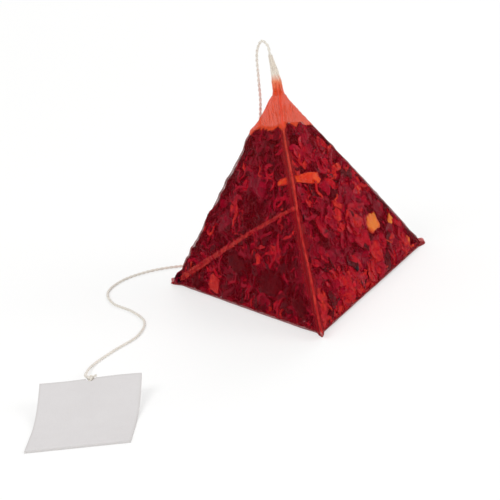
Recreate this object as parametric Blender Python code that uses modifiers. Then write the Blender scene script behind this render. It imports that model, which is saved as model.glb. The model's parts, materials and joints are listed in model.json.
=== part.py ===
"""Pyramid tea bag: a gauze pouch filled with fruit and flower leaf, its thread and its card tag.

Metres, +Z up. The bag stands on its base face with its front corner towards -Y. The origin is at
the bottom centre of the box round the pouch. The pouch is a tube of gauze of constant girth: its
front end is pressed flat one way, from the front corner up to the apex, and its back end is pressed
flat the other way, along the back edge of the base. That folds the tube into a pyramid.
"""
import math

import bmesh
import bpy
from mathutils import Matrix, Vector, noise

# Pouch
EDGE = 0.055
WALL = 0.00035
SEAL_WIDTH = 0.0028
SEAL_THICKNESS = 0.0008
CRIMP_DEPTH = 0.0001
CRIMP_ROWS = 3
SEAL_TAPER = 0.0085
SEAL_TIP_SHARE = 0.35
LAP_WIDTH = 0.0020
LAP_RISE = 0.0005
BULGE = 0.0013
FOLD_RADIUS = 0.0016
SEAM_BOW = 0.0006
LUMP_HEIGHT = 0.0005
LUMP_SIZE = 0.0060
HOLLOW_END = 0.0002
SKIN_ROWS = 23

# Tail of the pouch, where the apex is gathered round the thread
TAIL_LENGTH = 0.0085
TAIL_ROOT_RADIUS = 0.0013
TAIL_TIP_RADIUS = 0.00050
TAIL_ROOT_DEPTH = 0.0032
TAIL_BORE_RADIUS = 0.00022
BORE_OVERRUN = 0.003
TAIL_LEAN = Vector((-0.10, 0.14, 1.0))

# Fill
CLEARANCE = 0.0003
FLAKE_THICKNESS = 0.0008
FLAKE_SAG = 0.0002
FILL_HEIGHT = 0.0355
DENT_DEPTH = 0.0011
DENT_SIZE = 0.0030
BED_END = 0.0008
BED_ROWS = 16

# Thread, knot and tag
THREAD_DIAMETER = 0.0006
THREAD_STEP = 0.0021
THREAD_RISE = 0.0018
FLOOR_LIFT = 0.00003
KNOT_DIAMETER = 0.0015
KNOT_TURNS = 3
KNOT_GROOVE = 0.12
TAG_WIDTH = 0.020
TAG_LENGTH = 0.024
TAG_THICKNESS = 0.0004
TAG_CURL = 0.0042
TAG_FLAT_SHARE = 0.35
TAG_TURN = math.radians(-9.0)
TAG_TOP = Vector((-0.0460, -0.0385, 0.0))

# Sides of a pyramid whose six edges are equal
ALTITUDE = EDGE * math.sqrt(2.0 / 3.0)
INRADIUS = EDGE / (2.0 * math.sqrt(3.0))
TUBE_LENGTH = EDGE / math.sqrt(2.0)
LEAN = math.sqrt(1.5)
UP_SEAL = Vector((0.0, 1.0 / math.sqrt(3.0), math.sqrt(2.0 / 3.0)))
ACROSS = Vector((1.0, 0.0, 0.0))
ALONG_TUBE = Vector((0.0, math.sqrt(2.0 / 3.0), -1.0 / math.sqrt(3.0)))
FRONT_REACH = 2.0 * INRADIUS + SEAL_WIDTH * ALONG_TUBE.y
BACK_REACH = INRADIUS + SEAL_WIDTH + LEAN * SEAL_THICKNESS * UP_SEAL.y
BASE_CENTRE = Vector((0.0, (FRONT_REACH - BACK_REACH) / 2.0, 0.0))
SEAL_MIDDLE = BASE_CENTRE + Vector((0.0, -INRADIUS, ALTITUDE / 2.0))
APEX = BASE_CENTRE + Vector((0.0, 0.0, ALTITUDE))

FLAKE_DEPTH = WALL + CLEARANCE + FLAKE_THICKNESS / 2.0
BED_DEPTH = FLAKE_DEPTH + FLAKE_THICKNESS / 2.0 + CLEARANCE + FLAKE_SAG
BED_BASE_DEPTH = WALL + CLEARANCE

# How each side face lies in a section of the tube: (across, up the seal)
FACES = {"left": (-1.0, 0.0), "right": (1.0, 0.0), "back": (0.0, 1.0)}

# Larger pieces that show through the gauze: name, face, share of the way from the front seal to the
# back one, place up the face from -1 to 1, length, width, turn in degrees, finish
FLAKES = (
    ("orange_peel_sliver", "right", 0.135, 0.30, 0.0078, 0.0028, 12, "peel"),
    ("orange_peel_chip", "right", 0.57, 0.13, 0.0056, 0.0042, 25, "peel"),
    ("orange_peel_crumb", "right", 0.74, 0.50, 0.0028, 0.0020, 60, "peel"),
    ("orange_peel_curl", "right", 0.87, -0.10, 0.0036, 0.0018, 80, "peel"),
    ("rosehip_shred_right", "right", 0.30, 0.16, 0.0036, 0.0016, -10, "rosehip"),
    ("rosehip_shred_upper", "right", 0.36, 0.68, 0.0034, 0.0016, 20, "rosehip"),
    ("rosehip_shred_middle", "right", 0.50, 0.60, 0.0034, 0.0018, 40, "rosehip"),
    ("rosehip_shred_outer", "right", 0.72, -0.10, 0.0030, 0.0018, 30, "rosehip"),
    ("hibiscus_petal_front_right", "right", 0.24, -0.42, 0.0092, 0.0066, 15, "petal"),
    ("hibiscus_petal_low_right", "right", 0.47, -0.46, 0.0092, 0.0062, 35, "petal"),
    ("hibiscus_petal_top_right", "right", 0.19, 0.68, 0.0052, 0.0038, 50, "petal"),
    ("dark_leaf_right", "right", 0.65, -0.52, 0.0050, 0.0034, 10, "leaf"),
    ("rosehip_square", "left", 0.67, -0.56, 0.0036, 0.0034, 40, "rosehip"),
    ("dark_leaf_corner_left", "left", 0.80, -0.40, 0.0046, 0.0032, 15, "leaf"),
    ("dark_leaf_middle_left", "left", 0.46, -0.26, 0.0060, 0.0038, 65, "leaf"),
    ("dark_leaf_low_left", "left", 0.26, -0.58, 0.0070, 0.0050, 40, "leaf"),
    ("dark_leaf_front_left", "left", 0.10, -0.80, 0.0046, 0.0034, 75, "leaf"),
    ("hibiscus_petal_upper_left", "left", 0.24, 0.46, 0.0084, 0.0060, 35, "petal"),
    ("hibiscus_petal_middle_left", "left", 0.52, 0.46, 0.0066, 0.0046, 5, "petal"),
    ("orange_peel_front_left", "left", 0.085, 0.24, 0.0032, 0.0020, 15, "peel"),
    ("hibiscus_petal_back_left", "back", 0.72, -0.40, 0.0088, 0.0060, 25, "petal"),
    ("hibiscus_petal_back_right", "back", 0.62, 0.36, 0.0082, 0.0056, 70, "petal"),
    ("orange_peel_back", "back", 0.84, 0.10, 0.0070, 0.0040, 15, "peel"),
    ("dark_leaf_back", "back", 0.48, -0.10, 0.0070, 0.0044, 50, "leaf"),
)

# Finish: colour, roughness, opacity
FINISHES = {
    "gauze": ((0.62, 0.075, 0.055), 0.55, 0.42),
    "bed": ((0.085, 0.006, 0.018), 0.70, 1.0),
    "leaf": ((0.030, 0.004, 0.010), 0.65, 1.0),
    "petal": ((0.200, 0.007, 0.022), 0.50, 1.0),
    "rosehip": ((0.560, 0.035, 0.020), 0.45, 1.0),
    "peel": ((0.900, 0.330, 0.040), 0.50, 1.0),
    "thread": ((0.800, 0.770, 0.720), 0.85, 1.0),
    "card": ((0.730, 0.715, 0.720), 0.80, 1.0),
}

# Thread's way down the back of the pouch and round to the tag
ROUTE = (
    (-0.0018, 0.0101, 0.0529),
    (-0.0030, 0.0112, 0.0503),
    (-0.0034, 0.0114, 0.0450),
    (-0.0038, 0.0118, 0.0390),
    (-0.0052, 0.0134, 0.0320),
    (-0.0085, 0.0176, 0.0220),
    (-0.0116, 0.0213, 0.0120),
    (-0.0138, 0.0238, 0.0052),
    (-0.0150, 0.0256, 0.0021),
    (-0.0164, 0.0279, 0.0012),
    (-0.0186, 0.0304, 0.0003),
    (-0.0240, 0.0334, 0.0003),
    (-0.0310, 0.0338, 0.0003),
    (-0.0375, 0.0306, 0.0003),
    (-0.0412, 0.0240, 0.0003),
    (-0.0404, 0.0160, 0.0003),
    (-0.0366, 0.0088, 0.0003),
    (-0.0344, 0.0010, 0.0003),
    (-0.0362, -0.0070, 0.0003),
    (-0.0412, -0.0134, 0.0003),
    (-0.0456, -0.0200, 0.0004),
    (-0.0472, -0.0270, 0.0012),
    (-0.0467, -0.0330, 0.0028),
)


def clear_scene():
    """Remove every object of the scene."""
    for thing in list(bpy.data.objects):
        bpy.data.objects.remove(thing, do_unlink=True)


def new_collection(name):
    """Add a collection to the scene."""
    collection = bpy.data.collections.new(name)
    bpy.context.scene.collection.children.link(collection)
    return collection


def make_finish(name):
    """Make one material from its entry in FINISHES."""
    colour, roughness, opacity = FINISHES[name]
    material = bpy.data.materials.new(name)
    material.use_nodes = True
    shader = material.node_tree.nodes["Principled BSDF"]
    shader.inputs["Base Color"].default_value = (*colour, 1.0)
    shader.inputs["Roughness"].default_value = roughness
    shader.inputs["Metallic"].default_value = 0.0
    shader.inputs["Alpha"].default_value = opacity
    material.diffuse_color = (*colour, opacity)
    return material


def add_object(name, mesh_source, collection, finish):
    """Turn a bmesh into a smooth-shaded object of the collection."""
    mesh = bpy.data.meshes.new(name)
    mesh_source.to_mesh(mesh)
    mesh_source.free()
    mesh.shade_smooth()
    mesh.set_sharp_from_angle(angle=math.radians(50.0))
    thing = bpy.data.objects.new(name, mesh)
    if finish is not None:
        mesh.materials.append(finish)
    collection.objects.link(thing)
    return thing


def boolean(thing, operation, cutter):
    """Cut or join a thing with a cutter."""
    step = thing.modifiers.new(operation.lower(), "BOOLEAN")
    step.operation = operation
    step.solver = "EXACT"
    step.object = cutter


def hide_cutter(thing):
    """Mark an object as a cutter."""
    thing.hide_render = True
    thing.display_type = "WIRE"


def crest(product):
    """Shape of a taut face under load: 1 at its middle, 0 at its edges."""
    return max(27.0 * product, 0.0) ** 0.8


def swell(share, across, up, lean):
    """How far the fill pushes the gauze out at one place, as (across, up the seal)."""
    if not 0.0 < share < 1.0:
        return 0.0, 0.0
    side_ratio = min(abs(up) / ((1.0 - share) * EDGE / 2.0), 1.0)
    back_ratio = min(abs(across) / (share * EDGE / 2.0), 1.0)
    side = crest(share * (1.0 - share) ** 2 * (1.0 - side_ratio ** 2) / 4.0)
    back = crest((1.0 - share) * share ** 2 * (1.0 - back_ratio ** 2) / 4.0)
    place = tube_point(share, across, up)
    lump = noise.noise(place / LUMP_SIZE) * LUMP_HEIGHT
    if place.z > FILL_HEIGHT:
        lump *= max(0.0, 1.0 - (place.z - FILL_HEIGHT) / LUMP_SIZE)
    out_across = lean[0] * (BULGE * side + lump * math.sqrt(side))
    out_up = max(lean[1], 0.0) * (BULGE * back + lump * math.sqrt(back))
    return out_across, out_up


def bow(share, up):
    """How far the front seal's slight bow moves a place sideways."""
    return -SEAM_BOW * (1.0 - share) ** 2 * (1.0 - min(abs(2.0 * up / EDGE), 1.0) ** 2)


def tube_point(share, across, up):
    """Place in a section of the tube: its share of the way back, its way across and up."""
    sideways = ACROSS * (across + bow(share, up))
    return SEAL_MIDDLE + ALONG_TUBE * (TUBE_LENGTH * share) + sideways + UP_SEAL * up


def even_marks(count, reach):
    """Evenly spaced places from -reach to reach."""
    return [reach * (2.0 * index / (count - 1) - 1.0) for index in range(count)]


def lap_marks(reach):
    """Places across the side with the lap seam, from -reach to reach, and which of them stand proud."""
    half = min(LAP_WIDTH / 2.0, 0.45 * reach)
    foot = half + min(LAP_RISE, 0.2 * reach)
    plain = [-reach + (reach - foot) * index / 3.0 for index in range(4)]
    marks = plain + [-half, half] + [-mark for mark in reversed(plain)]
    return marks, (4, 5)


def corner(across, up, radius, quarter):
    """Two points on the arc of a round corner."""
    points = []
    for step in (1, 2):
        angle = math.radians(90.0 * quarter + 30.0 * step)
        lean = (math.cos(angle), math.sin(angle))
        points.append((across + radius * lean[0], up + radius * lean[1], *lean, False))
    return points


def outline(half, low, high, radius):
    """One closed section with round corners: (across, up, lean across, lean up, on the lap)."""
    middle = (low + high) / 2.0
    tall = (high - low) / 2.0
    flat_tall = tall - radius
    flat_wide = half - radius
    points = []
    for mark in even_marks(7, flat_tall):
        points.append((half, middle + mark, 1.0, 0.0, False))
    points += corner(flat_wide, middle + flat_tall, radius, 0)
    for mark in even_marks(8, flat_wide):
        points.append((-mark, high, 0.0, 1.0, False))
    points += corner(-flat_wide, middle + flat_tall, radius, 1)
    marks, proud = lap_marks(flat_tall)
    for index, mark in enumerate(marks):
        points.append((-half, middle - mark, -1.0, 0.0, index in proud))
    points += corner(-flat_wide, middle - flat_tall, radius, 2)
    for mark in even_marks(6, flat_wide):
        points.append((mark, low, 0.0, -1.0, False))
    points += corner(flat_wide, middle - flat_tall, radius, 3)
    return points


def seal_share(up):
    """Share of its width that the front seal keeps, as it narrows into the tail."""
    nearing = max(0.0, 1.0 - (EDGE / 2.0 - up) / SEAL_TAPER)
    return 1.0 - (1.0 - SEAL_TIP_SHARE) * nearing ** 2


def tube_section(share, depth, base_depth, thin=0.0, slide=Vector(), lap=0.0):
    """Points of the tube's section at a depth under its skin."""
    half = max(share * EDGE / 2.0, SEAL_THICKNESS / 2.0) - LEAN * depth
    low = -(1.0 - share) * EDGE / 2.0
    high = max(-low, low + LEAN * SEAL_THICKNESS) - LEAN * depth
    low += LEAN * base_depth
    if share < 0.5:
        half -= thin
    else:
        high -= LEAN * thin
    radius = 0.98 * min(max(FOLD_RADIUS - depth, 0.0004), half, (high - low) / 2.0)
    points = []
    for across, up, lean_across, lean_up, proud in outline(half, low, high, radius):
        out_across, out_up = swell(share, across, up, (lean_across, lean_up))
        if proud:
            out_across -= lap
        short = seal_share(up) if share < 0.5 else 1.0
        points.append(tube_point(share, across + out_across, up + out_up) + slide * short)
    return points


def loft(sections):
    """Skin a row of sections and close both ends."""
    skin = bmesh.new()
    rows = [[skin.verts.new(point) for point in section] for section in sections]
    count = len(rows[0])
    for first, second in zip(rows, rows[1:]):
        for index in range(count):
            after = (index + 1) % count
            skin.faces.new((first[index], first[after], second[after], second[index]))
    skin.faces.new(rows[0])
    skin.faces.new(rows[-1])
    bmesh.ops.recalc_face_normals(skin, faces=skin.faces)
    return skin


def crimp_rows():
    """Rows of a crimped seal: distance out from its edge, and how deep the row is pressed."""
    count = 2 * CRIMP_ROWS
    return [(SEAL_WIDTH * row / count, CRIMP_DEPTH * (row % 2)) for row in range(1, count + 1)]


def pouch_skin():
    """Outer skin of the pouch, from the edge of the front seal to the edge of the back one."""
    sections = []
    for reach, thin in reversed(crimp_rows()):
        sections.append(tube_section(0.0, 0.0, 0.0, thin, -ALONG_TUBE * reach))
    for step in range(SKIN_ROWS + 1):
        lap = LAP_RISE if 0 < step < SKIN_ROWS else 0.0
        sections.append(tube_section(step / SKIN_ROWS, 0.0, 0.0, lap=lap))
    for reach, thin in crimp_rows():
        sections.append(tube_section(1.0, 0.0, 0.0, thin, Vector((0.0, reach, 0.0))))
    return loft(sections)


def hollow_skin(depth, base_depth, least, count):
    """Skin of a body that fills the tube at a depth under the pouch's skin."""
    first = (least + LEAN * depth) / (EDGE / 2.0)
    last = 1.0 - (2.0 * least + LEAN * (depth + base_depth)) / EDGE
    shares = [first + (last - first) * step / count for step in range(count + 1)]
    return loft([tube_section(share, depth, base_depth) for share in shares])


def tail_direction():
    """Way that the gathered apex points."""
    return TAIL_LEAN.normalized()


def tail_tip():
    """End of the gathered apex, where the thread comes out."""
    return APEX + tail_direction() * (TAIL_LENGTH - TAIL_ROOT_DEPTH)


def tail_cone(root_radius, tip_radius, start, length):
    """Cone along the tail, its start measured from the tail's root."""
    turn = tail_direction().to_track_quat("Z", "Y").to_matrix().to_4x4()
    middle = tail_tip() - tail_direction() * (TAIL_LENGTH - start - length / 2.0)
    cone = bmesh.new()
    bmesh.ops.create_cone(
        cone, cap_ends=True, segments=14, radius1=root_radius, radius2=tip_radius, depth=length,
        matrix=Matrix.Translation(middle) @ turn)
    return cone


def make_pouch(parts, cutters, finish):
    """The folded and sealed gauze, hollow, open only where the thread comes out."""
    pouch = add_object("gauze_pouch", pouch_skin(), parts, finish)
    tail = add_object(
        "cut_tail", tail_cone(TAIL_ROOT_RADIUS, TAIL_TIP_RADIUS, 0.0, TAIL_LENGTH), cutters, None)
    hollow = add_object(
        "cut_hollow", hollow_skin(WALL, WALL, HOLLOW_END, SKIN_ROWS - 2), cutters, None)
    bore = add_object(
        "cut_bore",
        tail_cone(TAIL_BORE_RADIUS, TAIL_BORE_RADIUS, -BORE_OVERRUN, TAIL_LENGTH + 1.5 * BORE_OVERRUN),
        cutters, None)
    boolean(pouch, "UNION", tail)
    boolean(pouch, "DIFFERENCE", hollow)
    boolean(pouch, "DIFFERENCE", bore)
    for cutter in (tail, hollow, bore):
        hide_cutter(cutter)
    return pouch


def make_leaf_bed(parts, finish):
    """The packed leaf, up to the fill height, with a lumpy skin."""
    bed = hollow_skin(BED_DEPTH, BED_BASE_DEPTH, BED_END, BED_ROWS)
    bmesh.ops.bisect_plane(
        bed, geom=bed.verts[:] + bed.edges[:] + bed.faces[:], plane_co=Vector((0.0, 0.0, FILL_HEIGHT)),
        plane_no=Vector((0.0, 0.0, 1.0)), clear_outer=True)
    bmesh.ops.holes_fill(bed, edges=[edge for edge in bed.edges if edge.is_boundary])
    bmesh.ops.remove_doubles(bed, verts=bed.verts, dist=0.0001)
    bmesh.ops.recalc_face_normals(bed, faces=bed.faces)
    bed.normal_update()
    for vert in bed.verts:
        if vert.normal.z > -0.5:
            dent = 0.5 + 0.5 * noise.noise(vert.co / DENT_SIZE)
            vert.co -= vert.normal * (DENT_DEPTH * dent)
    return add_object("leaf_bed", bed, parts, finish)


def face_axes(face):
    """Ways along a face, up the face and out of it."""
    lean_across, lean_up = FACES[face]
    side = ACROSS * lean_across + UP_SEAL * lean_up
    back = (ALONG_TUBE * TUBE_LENGTH + side * (EDGE / 2.0) * (1.0 if lean_across else -1.0)).normalized()
    over = UP_SEAL if lean_across else ACROSS
    out = (side * math.sqrt(2.0) - ALONG_TUBE * (1.0 if lean_across else -1.0)).normalized()
    return back, over, out


def on_face(face, point, depth):
    """Move a point of the flat face to a depth under the swollen skin."""
    away = point - SEAL_MIDDLE
    share = away.dot(ALONG_TUBE) / TUBE_LENGTH
    across, up = away.dot(ACROSS), away.dot(UP_SEAL)
    out_across, out_up = swell(share, across, up, FACES[face])
    return tube_point(share, across + out_across, up + out_up) - face_axes(face)[2] * depth


def face_place(face, share, along):
    """Point of a flat face from its share of the way back and its place up or across."""
    lean_across, lean_up = FACES[face]
    across = lean_across * share * EDGE / 2.0 + lean_up * along * share * EDGE / 2.0
    up = lean_up * (1.0 - share) * EDGE / 2.0 + abs(lean_across) * along * (1.0 - share) * EDGE / 2.0
    return SEAL_MIDDLE + ALONG_TUBE * (TUBE_LENGTH * share) + ACROSS * across + UP_SEAL * up


def make_flake(entry, parts, finishes):
    """One larger piece of the fill, pressed flat against the gauze from inside."""
    name, face, share, along, length, width, turn, finish = entry
    back, over, _ = face_axes(face)
    centre = face_place(face, share, along)
    turned = math.radians(turn)
    flake = bmesh.new()
    bmesh.ops.create_grid(flake, x_segments=4, y_segments=3, size=1.0)
    for vert in flake.verts:
        x, y = vert.co.x, vert.co.y
        x, y = x * math.sqrt(1.0 - y * y / 2.4), y * math.sqrt(1.0 - x * x / 2.4)
        ragged = 1.0 + 0.30 * noise.noise(Vector((x * 2.3, y * 2.3, 40.0 * share + along)))
        x *= ragged * length / 2.0
        y *= ragged * width / 2.0
        way = back * (x * math.cos(turned) - y * math.sin(turned))
        way += over * (x * math.sin(turned) + y * math.cos(turned))
        vert.co = on_face(face, centre + way, FLAKE_DEPTH)
    thing = add_object(name, flake, parts, finishes[finish])
    wall = thing.modifiers.new("thickness", "SOLIDIFY")
    wall.thickness = FLAKE_THICKNESS
    wall.offset = 0.0
    return thing


def catmull(before, start, end, after, share):
    """Point of a smooth curve between start and end."""
    square = share * share
    cube = square * share
    return 0.5 * (2.0 * start + (end - before) * share
                  + (2.0 * before - 5.0 * start + 4.0 * end - after) * square
                  + (3.0 * start - before - 3.0 * end + after) * cube)


def smooth_route(points, step):
    """Evenly spaced points of a smooth curve through the route's own points."""
    ends = [2.0 * points[0] - points[1]] + list(points) + [2.0 * points[-1] - points[-2]]
    fine = []
    for index in range(1, len(ends) - 2):
        for part in range(24):
            fine.append(catmull(*ends[index - 1:index + 3], part / 24.0))
    fine.append(points[-1].copy())
    for point in fine:
        point.z = max(point.z, FLOOR_LIFT + THREAD_DIAMETER / 2.0)
    length = sum((second - first).length for first, second in zip(fine, fine[1:]))
    count = round(length / step)
    even = [fine[0]]
    gone = 0.0
    for first, second in zip(fine, fine[1:]):
        piece = (second - first).length
        while len(even) < count and gone + piece >= length * len(even) / count:
            even.append(first.lerp(second, (length * len(even) / count - gone) / piece))
        gone += piece
    even.append(fine[-1])
    return even


def tag_place(across, down):
    """Place on the tag's underside, from the middle of its top edge, which curls up off the floor."""
    flat = TAG_LENGTH * TAG_FLAT_SHARE
    lifted = max(TAG_LENGTH - flat - down, 0.0) / (TAG_LENGTH - flat)
    turn = Matrix.Rotation(TAG_TURN, 3, "Z")
    return TAG_TOP + turn @ Vector((across, -down, 0.0)) + Vector((0.0, 0.0, TAG_CURL * lifted ** 2))


def knot_place():
    """Middle of the knot, in the notch of the tag's top edge."""
    return tag_place(0.0, 0.0) + Vector((0.0, 0.0, TAG_THICKNESS / 2.0))


def thread_route():
    """The thread's own points, from the tail's tip to the knot."""
    start = tail_tip() + tail_direction() * CLEARANCE
    points = [start, start + tail_direction() * THREAD_RISE]
    points += [Vector(point) for point in ROUTE]
    toward = (knot_place() - points[-1]).normalized()
    points.append(knot_place() - toward * (KNOT_DIAMETER / 2.0 + CLEARANCE))
    return points


def make_thread(parts, finish):
    """The thread as a tube along its route."""
    curve = bpy.data.curves.new("thread", "CURVE")
    curve.dimensions = "3D"
    curve.bevel_depth = THREAD_DIAMETER / 2.0
    curve.bevel_resolution = 2
    curve.use_fill_caps = True
    points = smooth_route(thread_route(), THREAD_STEP)
    spline = curve.splines.new("POLY")
    spline.points.add(len(points) - 1)
    for slot, point in zip(spline.points, points):
        slot.co = (*point, 1.0)
    thread = bpy.data.objects.new("thread", curve)
    curve.materials.append(finish)
    parts.objects.link(thread)
    return thread


def make_knot(parts, finish):
    """The knot at the thread's end."""
    knot = bmesh.new()
    radius = KNOT_DIAMETER / 2.0
    bmesh.ops.create_uvsphere(knot, u_segments=12, v_segments=8, radius=radius)
    for vert in knot.verts:
        turn = KNOT_TURNS * math.atan2(vert.co.y, vert.co.x) + math.pi * vert.co.z / radius
        vert.co *= 1.0 - KNOT_GROOVE * (0.5 + 0.5 * math.cos(turn))
        vert.co += knot_place()
    return add_object("thread_knot", knot, parts, finish)


def make_tag(parts, cutters, finish):
    """The blank card tag, lying on its lower part, with a notch for the knot."""
    card = bmesh.new()
    bmesh.ops.create_grid(card, x_segments=4, y_segments=10, size=0.5)
    for vert in card.verts:
        vert.co = tag_place(vert.co.x * TAG_WIDTH, (0.5 - vert.co.y) * TAG_LENGTH)
    tag = add_object("card_tag", card, parts, finish)
    wall = tag.modifiers.new("thickness", "SOLIDIFY")
    wall.thickness = TAG_THICKNESS
    wall.offset = 1.0
    notch = bmesh.new()
    bmesh.ops.create_cone(
        notch, cap_ends=True, segments=20, radius1=KNOT_DIAMETER / 2.0 + CLEARANCE,
        radius2=KNOT_DIAMETER / 2.0 + CLEARANCE, depth=0.01, matrix=Matrix.Translation(knot_place()))
    cutter = add_object("cut_notch", notch, cutters, None)
    hide_cutter(cutter)
    boolean(tag, "DIFFERENCE", cutter)
    return tag


def main():
    """Build the whole tea bag."""
    clear_scene()
    parts = new_collection("pyramid_tea_bag")
    cutters = new_collection("cutters")
    finishes = {name: make_finish(name) for name in FINISHES}
    make_pouch(parts, cutters, finishes["gauze"])
    make_leaf_bed(parts, finishes["bed"])
    for entry in FLAKES:
        make_flake(entry, parts, finishes)
    make_thread(parts, finishes["thread"])
    make_knot(parts, finishes["thread"])
    make_tag(parts, cutters, finishes["card"])


main()
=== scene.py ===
"""Pyramid tea bag: the looks of its gauze pouch, wet leaf, thread, knot and card tag.

Metres, +Z up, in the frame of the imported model. The pouch is a tube of gauze of constant girth,
pressed flat one way at its front end and the other way at its back end, which folds it into a
pyramid. A place on it is told by its share of the way from the front seal to the back one, its way
across and its way up the seal.
"""
import json
import logging
import math
import random
from dataclasses import dataclass, field
from enum import Enum
from functools import cached_property
from typing import Callable, ClassVar, NamedTuple, Sequence

import bpy
from mathutils import Matrix, Quaternion, Vector, noise

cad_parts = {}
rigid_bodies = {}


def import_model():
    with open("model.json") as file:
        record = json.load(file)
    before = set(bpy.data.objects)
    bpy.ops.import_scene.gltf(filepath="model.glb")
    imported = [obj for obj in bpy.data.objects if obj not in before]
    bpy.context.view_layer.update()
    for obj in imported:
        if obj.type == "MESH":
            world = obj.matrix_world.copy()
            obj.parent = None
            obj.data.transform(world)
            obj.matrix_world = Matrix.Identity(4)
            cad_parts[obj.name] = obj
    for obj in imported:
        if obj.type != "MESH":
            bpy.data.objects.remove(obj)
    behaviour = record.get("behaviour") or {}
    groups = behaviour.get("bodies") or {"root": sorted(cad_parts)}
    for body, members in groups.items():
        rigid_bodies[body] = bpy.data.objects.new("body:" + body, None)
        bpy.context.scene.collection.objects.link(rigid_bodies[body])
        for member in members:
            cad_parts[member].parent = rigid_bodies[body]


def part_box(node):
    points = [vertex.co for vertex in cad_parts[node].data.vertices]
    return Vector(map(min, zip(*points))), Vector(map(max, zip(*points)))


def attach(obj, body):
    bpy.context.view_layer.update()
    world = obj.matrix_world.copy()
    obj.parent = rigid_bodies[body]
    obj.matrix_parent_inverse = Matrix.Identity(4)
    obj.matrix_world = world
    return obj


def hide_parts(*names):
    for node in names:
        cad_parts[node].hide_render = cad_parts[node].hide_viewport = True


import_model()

log = logging.getLogger("tea_bag")

Colour = tuple[float, float, float]
Socket = bpy.types.NodeSocket
Thing = bpy.types.Object

BODY = "root"
FABRIC_MAP = "fabric"


# Helpers for objects and meshes

def deselect_all() -> None:
    """Leave nothing selected, so that an operator acts only on what is picked next."""
    for thing in bpy.context.view_layer.objects:
        thing.select_set(False)


def pick(thing: Thing) -> Thing:
    """Make one object the only selected one and the active one.

    Args:
        thing: the object to pick.

    Returns:
        The same object.
    """
    deselect_all()
    thing.select_set(True)
    bpy.context.view_layer.objects.active = thing
    return thing


def finish_modifier(thing: Thing, kind: str, **settings: object) -> None:
    """Add a modifier to an object and apply it.

    Args:
        thing: the object to change.
        kind: Blender's name for the modifier.
        settings: values for the modifier's own fields.
    """
    pick(thing)
    step = thing.modifiers.new(kind.lower(), kind)
    for name, value in settings.items():
        setattr(step, name, value)
    bpy.ops.object.modifier_apply(modifier=step.name)


def edit_selected(thing: Thing, chosen: Callable[[Vector], bool],
                  operation: Callable[[], object]) -> None:
    """Run an edit-mode operator on the vertices that a rule picks.

    Args:
        thing: the object to edit.
        chosen: tells for a vertex's place whether it is picked.
        operation: the operator call to run in edit mode.
    """
    pick(thing)
    bpy.ops.object.mode_set(mode="EDIT")
    bpy.ops.mesh.select_mode(type="VERT")
    bpy.ops.mesh.select_all(action="DESELECT")
    bpy.ops.object.mode_set(mode="OBJECT")
    for vert in thing.data.vertices:
        vert.select = chosen(vert.co)
    bpy.ops.object.mode_set(mode="EDIT")
    operation()
    bpy.ops.object.mode_set(mode="OBJECT")


def move_vertices(thing: Thing, place: Callable[[Vector], Vector]) -> None:
    """Give every vertex of a soft piece a new place.

    Args:
        thing: the object to shape.
        place: gives a vertex's new place from its old one.
    """
    for vert in thing.data.vertices:
        vert.co = place(vert.co.copy())


def outward(thing: Thing) -> None:
    """Turn the faces of a closed piece to point outwards.

    Args:
        thing: the piece to turn.
    """
    pick(thing)
    bpy.ops.object.mode_set(mode="EDIT")
    bpy.ops.mesh.select_all(action="SELECT")
    bpy.ops.mesh.normals_make_consistent(inside=False)
    bpy.ops.object.mode_set(mode="OBJECT")


def smooth(thing: Thing, angle: float = 50.0) -> None:
    """Shade a piece smooth, apart from edges sharper than an angle in degrees."""
    pick(thing)
    bpy.ops.object.shade_smooth_by_angle(angle=math.radians(angle))


def mesh_object(name: str, points: Sequence[Vector], faces: Sequence[Sequence[int]]) -> Thing:
    """Make an object from points and faces.

    Args:
        name: the object's name.
        points: the places of its vertices.
        faces: the vertices of each face.

    Returns:
        The new object, linked to the scene.
    """
    mesh = bpy.data.meshes.new(name)
    mesh.from_pydata([tuple(point) for point in points], [], faces)
    mesh.update()
    thing = bpy.data.objects.new(name, mesh)
    bpy.context.scene.collection.objects.link(thing)
    return thing


def band_faces(rings: int, count: int, closed: bool = False) -> list[tuple[int, ...]]:
    """Faces that join each ring of points to the next.

    Args:
        rings: how many rings there are.
        count: how many points each ring has.
        closed: whether the last ring joins the first.

    Returns:
        The vertices of each face.
    """
    faces = []
    for ring in range(rings if closed else rings - 1):
        start, end = ring * count, (ring + 1) % rings * count
        for column in range(count):
            after = (column + 1) % count
            faces.append((start + column, start + after, end + after, end + column))
    return faces


def loft(name: str, rows: Sequence[Sequence[Vector]], capped: bool) -> Thing:
    """Skin rings of points to a tube.

    Args:
        name: the object's name.
        rows: the rings, each with as many points.
        capped: whether the tube's two ends are closed.

    Returns:
        The new object.
    """
    count = len(rows[0])
    faces = band_faces(len(rows), count)
    if capped:
        last = range((len(rows) - 1) * count, len(rows) * count)
        faces = [tuple(range(count)), *faces, tuple(reversed(last))]
    return mesh_object(name, [point for row in rows for point in row], faces)


def store(thing: Thing, name: str, values: Sequence[float]) -> None:
    """Keep one number for each vertex of a piece, for its material to read."""
    layer = thing.data.attributes.new(name, "FLOAT", "POINT")
    layer.data.foreach_set("value", list(values))


def seat(thing: Thing, material: bpy.types.Material, slot: str, *nodes: str) -> Thing:
    """Dress a finished piece and fix it to the part.

    Args:
        thing: the finished piece.
        material: its material.
        slot: the record's material slot that the piece stands for; not used.
        nodes: the solids that it stands for.

    Returns:
        The same object.
    """
    thing.data.materials.clear()
    thing.data.materials.append(material)
    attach(thing, BODY)
    if nodes:
        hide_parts(*nodes)
    log.info("%s: %d faces", thing.name, len(thing.data.polygons))
    return thing


def soft_step(value: float, low: float, high: float) -> float:
    """Rise smoothly from 0 at low to 1 at high."""
    share = min(max((value - low) / (high - low), 0.0), 1.0)
    return share * share * (3.0 - 2.0 * share)


# Materials

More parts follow.
